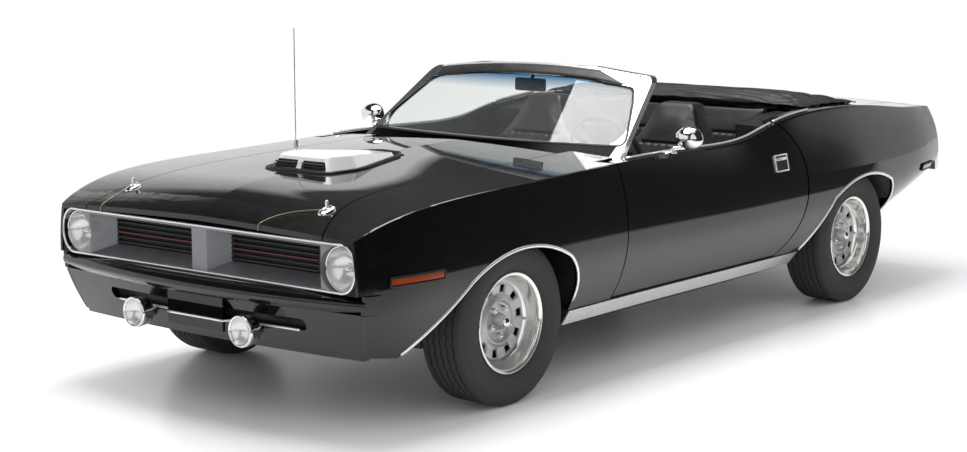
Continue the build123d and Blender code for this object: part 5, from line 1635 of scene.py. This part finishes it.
@dataclass
class Upholstery:
    """Seats and folded top: rounded, swollen by a cloth simulation, then sewn into channels or creased."""

    voxel: float = 0.012
    shrink: float = 0.008
    smoothing: int = 6
    pressure: float = 4.0
    frames: int = 20
    cap: float = 0.016
    seat_y: float = 0.390
    seat_half: float = 0.240
    headrest_half: float = 0.150
    headrest_from: float = 0.800
    # where the bench's back starts to be lifted, and over what height
    bench_from: tuple[float, float] = (0.62, 0.28)
    bench_lift: float = 0.075
    # z, half width of a bucket seat's back
    back_halves: tuple[tuple[float, float], ...] = ((0.66, 0.240), (0.75, 0.230), (0.82, 0.205), (0.89, 0.172),
                                                   (0.96, 0.143), (1.02, 0.118), (1.07, 0.092))
    pleat: float = 0.043
    pleat_depth: float = 0.009
    seam_width: float = 0.006
    # half width and top of a bucket seat's pleated panel
    panel_half: float = 0.135
    panel_top: float = 0.845
    border_half: float = 0.138
    border_top: float = 0.86
    seat_seam: float = 0.850
    bench_seam: float = 0.855
    cushion_top: tuple[float, float] = (0.55, 0.62)
    fold: float = 0.105
    fold_depth: float = 0.006
    end_fold: float = 0.16
    end_depth: float = 0.004

    def build(self) -> None:
        """Make the soft goods."""
        for side, hand in SIDES:
            seat = self.soft(f"bucket_seat_{side}", "front_seats", VINYL, hand)
            self.seat_channels(seat.data, hand)
        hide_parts("front_seats")
        bench = self.soft("rear_bench", "rear_seat", VINYL)
        self.bench_channels(bench.data)
        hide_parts("rear_seat")
        cover = self.soft("boot_cover", "folded_top", COVER_VINYL)
        self.creases(cover.data)
        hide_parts("folded_top")

    def soft(self, name: str, node: str, finish: Finish, hand: int = 0) -> bpy.types.Object:
        """Make one soft piece from a CAD solid.

        Args:
            name: the piece's name.
            node: the CAD node.
            finish: its finish.
            hand: the side of the car to keep, or 0 for both.

        Returns:
            The piece, swollen and subdivided.
        """
        bm = bmesh.new()
        bm.from_mesh(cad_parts[node].data)
        if hand:
            bmesh.ops.delete(bm, geom=[v for v in bm.verts if v.co.y * hand < 0], context="VERTS")
        made = new_piece(name, bm, finish, "body")
        remesh = made.modifiers.new("voxels", "REMESH")
        remesh.mode, remesh.voxel_size = "VOXEL", self.voxel
        self.apply(made)
        bm = bmesh.new()
        bm.from_mesh(made.data)
        for vert in bm.verts:
            if hand:
                self.taper(vert.co, hand)
            elif node == "rear_seat" and vert.co.z > self.bench_from[0]:
                vert.co.z += self.bench_lift * min(1.0, (vert.co.z - self.bench_from[0]) / self.bench_from[1])
        for _ in range(self.smoothing):
            bmesh.ops.smooth_vert(bm, verts=bm.verts, factor=0.5, use_axis_x=True, use_axis_y=True, use_axis_z=True)
        bm.normal_update()
        for vert, normal in [(v, v.normal.copy()) for v in bm.verts]:
            vert.co -= normal * self.shrink
        bm.to_mesh(made.data)
        bm.free()
        self.swell(made)
        made.modifiers.new("fine", "SUBSURF").levels = 1
        self.apply(made)
        for polygon in made.data.polygons:
            polygon.use_smooth = True
        return made

    def taper(self, place: Vector, hand: int) -> None:
        """Narrow a bucket seat's back towards its headrest.

        Args:
            place: a point of the seat, moved here.
            hand: the side of the car.
        """
        heights, halves = zip(*self.back_halves)
        own = self.seat_half if place.z < self.headrest_from else self.headrest_half
        if place.z > heights[0]:
            middle = self.seat_y * hand
            place.y = middle + (place.y - middle) * float(np.interp(place.z, heights, halves)) / own

    def apply(self, made: bpy.types.Object) -> None:
        """Turn a piece's modifiers into its mesh.

        Args:
            made: the piece.
        """
        bpy.context.view_layer.update()
        graph = bpy.context.evaluated_depsgraph_get()
        mesh = bpy.data.meshes.new_from_object(made.evaluated_get(graph))
        made.modifiers.clear()
        made.data = mesh

    def swell(self, made: bpy.types.Object) -> None:
        """Swell a piece by pressure from inside, no point further than the cap.

        Args:
            made: the piece.
        """
        rest = np.array([v.co for v in made.data.vertices])
        low = rest[:, 2].min() + 0.03
        group = made.vertex_groups.new(name="held")
        group.add([int(i) for i in np.nonzero(rest[:, 2] < low)[0]], 1.0, "REPLACE")
        cloth = made.modifiers.new("cloth", "CLOTH")
        cloth.settings.use_pressure = True
        cloth.settings.uniform_pressure_force = self.pressure
        cloth.settings.effector_weights.gravity = 0.0
        cloth.settings.vertex_group_mass = "held"
        cloth.settings.quality = 4
        cloth.point_cache.frame_end = self.frames
        for step in range(1, self.frames + 1):
            bpy.context.scene.frame_set(step)
        self.apply(made)
        bpy.context.scene.frame_set(1)
        moved = np.array([v.co for v in made.data.vertices]) - rest
        reach = np.linalg.norm(moved, axis=1)
        moved *= np.minimum(1.0, self.cap / np.maximum(reach, 1e-9))[:, None]
        made.data.vertices.foreach_set("co", (rest + moved).ravel())
        made.data.update()

    def press(self, mesh: bpy.types.Mesh, depth: np.ndarray) -> None:
        """Move a mesh's points inwards along their normals.

        Args:
            mesh: the mesh.
            depth: how far each point goes, in metres.
        """
        count = len(mesh.vertices)
        places, normals = np.empty(count * 3), np.empty(count * 3)
        mesh.vertices.foreach_get("co", places)
        mesh.vertices.foreach_get("normal", normals)
        mesh.vertices.foreach_set("co", places - normals * np.repeat(depth, 3))
        mesh.update()

    def points(self, mesh: bpy.types.Mesh) -> tuple[np.ndarray, np.ndarray]:
        """Read a mesh's points.

        Args:
            mesh: the mesh.

        Returns:
            The points and their normals.
        """
        return np.array([v.co for v in mesh.vertices]), np.array([v.normal for v in mesh.vertices])

    def seat_channels(self, mesh: bpy.types.Mesh, hand: int) -> None:
        """Sew upright channels into a bucket seat's cushion and back, and a seam under its headrest.

        Args:
            mesh: the seat's mesh.
            hand: the side of the car.
        """
        place, normal = self.points(mesh)
        across = place[:, 1] - self.seat_y * hand
        facing = np.maximum(normal[:, 0], normal[:, 2] * (place[:, 2] < self.cushion_top[0])) > 0.35
        panel = (place[:, 2] < self.panel_top) & (np.abs(across) < self.panel_half) & facing
        depth = panel * self.groove(across, self.pleat) * self.pleat_depth
        border = facing & (place[:, 2] < self.border_top)
        depth += border * self.seam(np.abs(across) - self.border_half)
        within = facing & (np.abs(across) < self.border_half + 0.004)
        depth += within * self.seam(place[:, 2] - self.seat_seam)
        self.press(mesh, depth)

    def bench_channels(self, mesh: bpy.types.Mesh) -> None:
        """Sew upright channels into the bench below its smooth upper band.

        Args:
            mesh: the bench's mesh.
        """
        place, normal = self.points(mesh)
        facing = np.maximum(normal[:, 0], normal[:, 2] * (place[:, 2] < self.cushion_top[1])) > 0.35
        low = place[:, 2] < self.bench_seam - 0.005
        depth = (facing & low) * self.groove(place[:, 1], self.pleat) * self.pleat_depth
        depth += facing * self.seam(place[:, 2] - self.bench_seam)
        self.press(mesh, depth)

    def creases(self, mesh: bpy.types.Mesh) -> None:
        """Crease the cover with soft folds that run across the car.

        Args:
            mesh: the cover's mesh.
        """
        place, normal = self.points(mesh)
        x, y = place[:, 0], place[:, 1]
        top = np.clip(normal[:, 2] * 1.5, 0, 1)
        drift = 0.020 * np.sin(y * 7.0 + 0.6) + 0.012 * np.sin(y * 17.0)
        wave = np.sin((x + drift) * 2 * math.pi / self.fold) ** 3
        ends = np.sin((y + 0.4 * x) * 2 * math.pi / self.end_fold) * np.clip((np.abs(y) - 0.45) / 0.3, 0, 1)
        self.press(mesh, top * (self.fold_depth * wave + self.end_depth * ends))

    def seam(self, away: np.ndarray) -> np.ndarray:
        """Shape a single seam.

        Args:
            away: distances from it.

        Returns:
            Its depth there, in metres.
        """
        return np.exp(-(away / self.seam_width) ** 2) * self.pleat_depth

    def groove(self, across: np.ndarray, period: float) -> np.ndarray:
        """Shape sewn channels.

        Args:
            across: places across them.
            period: the distance between seams.

        Returns:
            Their depth, from 0 on their crowns to 1 in their seams.
        """
        phase = np.abs((across / period) % 1.0 - 0.5) * 2
        return phase ** 6


@dataclass
class Dressing:
    """The finishes of the CAD nodes that stay in view."""

    finishes: tuple[tuple[Finish, str], ...] = (
        (PAINT, "tail_panel front_bumper cowl"),
        (VALANCE, "front_valance"),
        (UNDERBODY, "floor_pan engine_bay fuel_tank"),
        (GRILLE_SILVER, "grille"),
        (ARGENT, "wheel_front_left wheel_front_right wheel_rear_left wheel_rear_right"),
        (SCOOP_SILVER, "hood_scoop"),
        (BLACK_PLASTIC, "grille_inserts dashboard steering_column steering_wheel"),
        (CHROME, "rear_bumper antenna door_fittings_left door_fittings_right"),
        (BRIGHT_FRAME, "windscreen_frame"),
        (BRUSHED, "sill_mouldings"),
        (SCREEN, "windscreen"),
        (CHROME, "front_lamps"),
        (AMBER, "marker_lamps"),
        (RED, "tail_lamps"),
        (VINYL, "front_seats rear_seat cabin_trim"),
        (COVER_VINYL, "folded_top"),
        (IRON, "engine front_suspension knuckle_left knuckle_right rear_axle"),
        (STEEL, "driveline exhaust"),
        (RUBBER, "tyre_front_left tyre_front_right tyre_rear_left tyre_rear_right"),
    )

    def build(self) -> None:
        """Give every CAD node its finish."""
        for finish, names in self.finishes:
            for name in names.split():
                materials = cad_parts[name].data.materials
                materials.clear()
                materials.append(finish.material())


@dataclass
class Studio:
    """A white studio: pale floor, white backdrop low behind the car, one soft box above it."""

    camera_at: Point = (7.240, 5.361, 1.858)
    azimuth: float = 38.687
    elevation: float = 8.837
    roll: float = -0.105
    lens: float = 71.17
    floor_size: float = 60.0
    floor_near: float = 1.5
    floor_far: float = 3.1
    floor_side: float = 3.0
    floor_front: float = 4.5
    floor_fade: float = 0.35
    floor_stretch: Point = (0.62, 1.0, 0.0)
    behind_slope: float = 0.47
    behind_reach: float = 0.6
    # what reflections see, by direction: each pair runs from dark to light
    wall_top: float = 1.305
    wall_tilt: float = 1.46
    wall_z: tuple[float, float] = (0.55, 0.45)
    wall_y: tuple[float, float] = (0.1, -0.1)
    rear_x: tuple[float, float] = (-0.80, -0.90)
    rear_y: tuple[float, float] = (0.56, 0.46)
    rear_z: tuple[float, float] = (0.45, 0.30)
    rear_light: float = 0.7
    card: tuple[float, float] = (0.25, 0.40)
    room_light: float = 0.03
    ceiling_from: float = 0.90
    box_size: tuple[float, float] = (5.0, 2.6)
    box_at: Point = (0.3, -0.3, 4.2)
    box_power: float = 260.0

    def build(self) -> None:
        """Make the camera, the floor, the world and the lamps."""
        self.camera()
        self.floor()
        self.world()
        self.lamps()
        bpy.context.scene.view_settings.view_transform = "Standard"

    def camera(self) -> None:
        """Place the camera as fitted to the photograph."""
        az, el = math.radians(self.azimuth), math.radians(self.elevation)
        back = Vector((math.cos(el) * math.cos(az), math.cos(el) * math.sin(az), math.sin(el)))
        right = Vector((0, 0, 1)).cross(back).normalized()
        up = back.cross(right)
        turn = Matrix((right, up, back)).transposed().to_4x4() @ Matrix.Rotation(math.radians(self.roll), 4, "Z")
        data = bpy.data.cameras.new("camera")
        data.lens = self.lens
        data.clip_end = 200
        made = bpy.data.objects.new("camera", data)
        made.matrix_world = Matrix.Translation(self.camera_at) @ turn
        bpy.context.scene.collection.objects.link(made)
        bpy.context.scene.camera = made

    def floor(self) -> None:
        """Lay the pale floor, which the camera sees fade to the white of the background."""
        bm = bmesh.new()
        bmesh.ops.create_grid(bm, x_segments=1, y_segments=1, size=self.floor_size / 2)
        mesh = bpy.data.meshes.new("floor")
        bm.to_mesh(mesh)
        bm.free()
        floor = bpy.data.objects.new("floor", mesh)
        bpy.context.scene.collection.objects.link(floor)
        made = Finish("pale_floor", "F6F6F6", rough=0.3, specular=0.35, wear=0.0).material()
        tree = made.node_tree
        place = add_node(tree, "ShaderNodeTexCoord")
        scaled = add_node(tree, "ShaderNodeMapping", Vector=place.outputs["Object"], Scale=self.floor_stretch)
        length = add_node(tree, "ShaderNodeVectorMath", Vector=scaled.outputs["Vector"])
        length.operation = "LENGTH"
        far = add_node(tree, "ShaderNodeMapRange", Value=length.outputs["Value"], From_Min=self.floor_near,
                       From_Max=self.floor_far)
        far.interpolation_type = "SMOOTHSTEP"
        lit = add_node(tree, "ShaderNodeEmission", Strength=1.0)
        pale = add_node(tree, "ShaderNodeMixShader", Fac=far.outputs["Result"])
        tree.links.new(tree.nodes["Principled BSDF"].outputs["BSDF"], pale.inputs[1])
        tree.links.new(lit.outputs["Emission"], pale.inputs[2])
        split = add_node(tree, "ShaderNodeSeparateXYZ", Vector=place.outputs["Object"])
        x, y = split.outputs["X"], split.outputs["Y"]
        edge = combine(tree, "MAXIMUM", ramp(tree, y, self.floor_side, self.floor_side + self.floor_fade),
                       ramp(tree, x, self.floor_front, self.floor_front + self.floor_fade))
        across = combine(tree, "ADD", y, combine(tree, "MULTIPLY", x, self.behind_slope))
        zone = combine(tree, "MULTIPLY", edge, ramp(tree, across, 0.0, self.behind_reach))
        light = add_node(tree, "ShaderNodeLightPath")
        mirrored = combine(tree, "SUBTRACT", light.outputs["Is Glossy Ray"], light.outputs["Is Transmission Ray"])
        hidden = combine(tree, "MULTIPLY", zone, combine(tree, "MAXIMUM", mirrored, 0.0))
        dark = add_node(tree, "ShaderNodeEmission", Strength=0.02)
        mix = add_node(tree, "ShaderNodeMixShader", Fac=hidden)
        tree.links.new(pale.outputs["Shader"], mix.inputs[1])
        tree.links.new(dark.outputs["Emission"], mix.inputs[2])
        tree.links.new(mix.outputs["Shader"], tree.nodes["Material Output"].inputs["Surface"])
        mesh.materials.append(made)

    def world(self) -> None:
        """Make the world white to the camera; in reflections a low white wall, a dark room and a white ceiling."""
        world = bpy.data.worlds.new("studio")
        bpy.context.scene.world = world
        world.use_nodes = True
        tree = world.node_tree
        place = add_node(tree, "ShaderNodeTexCoord")
        split = add_node(tree, "ShaderNodeSeparateXYZ", Vector=place.outputs["Generated"])
        x, y, z = split.outputs["X"], split.outputs["Y"], split.outputs["Z"]
        under = ramp(tree, combine(tree, "SUBTRACT", z, combine(tree, "MULTIPLY", x, self.wall_tilt)),
                     self.wall_top + 0.015, self.wall_top)
        wall = combine(tree, "MULTIPLY", combine(tree, "MULTIPLY", under, ramp(tree, z, *self.wall_z)),
                       ramp(tree, y, *self.wall_y))
        behind = combine(tree, "MULTIPLY", ramp(tree, x, *self.rear_x),
                         combine(tree, "MULTIPLY", ramp(tree, y, *self.rear_y), ramp(tree, z, *self.rear_z)))
        room = combine(tree, "MAXIMUM", combine(tree, "MULTIPLY", behind, self.rear_light),
                       combine(tree, "MAXIMUM", wall, ramp(tree, z, self.ceiling_from, self.ceiling_from + 0.05)))
        card = combine(tree, "MULTIPLY", ramp(tree, x, *self.card), ramp(tree, y, *self.card))
        room = combine(tree, "MAXIMUM", combine(tree, "MAXIMUM", room, card), self.room_light)
        light = add_node(tree, "ShaderNodeLightPath")
        mirror = add_node(tree, "ShaderNodeMix", Factor=light.outputs["Is Glossy Ray"])
        mirror.inputs[2].default_value = 1.0
        tree.links.new(room, mirror.inputs[3])
        seen = combine(tree, "MAXIMUM", light.outputs["Is Camera Ray"], light.outputs["Is Transmission Ray"])
        shown = add_node(tree, "ShaderNodeMix", Factor=seen)
        tree.links.new(mirror.outputs[0], shown.inputs[2])
        shown.inputs[3].default_value = 1.0
        tree.links.new(shown.outputs[0], tree.nodes["Background"].inputs["Strength"])
        tree.nodes["Background"].inputs["Color"].default_value = (1, 1, 1, 1)

    def lamps(self) -> None:
        """Hang the soft box over the car."""
        data = bpy.data.lights.new("soft_box", "AREA")
        data.shape = "RECTANGLE"
        data.size, data.size_y = self.box_size
        data.energy = self.box_power
        lamp = bpy.data.objects.new("soft_box", data)
        lamp.location = self.box_at
        bpy.context.scene.collection.objects.link(lamp)


def main() -> None:
    """Build the studio and every sub-assembly."""
    Studio().build()
    Dressing().build()
    BodySkin().build()
    Wheels().build()
    ArchLips().build()
    BeltStrips().build()
    FrontEnd().build()
    DoorFittings().build()
    Screen().build()
    Scoop().build()
    HoodPins().build()
    SmallTrim().build()
    Upholstery().build()


if __name__ == "__main__":
    main()
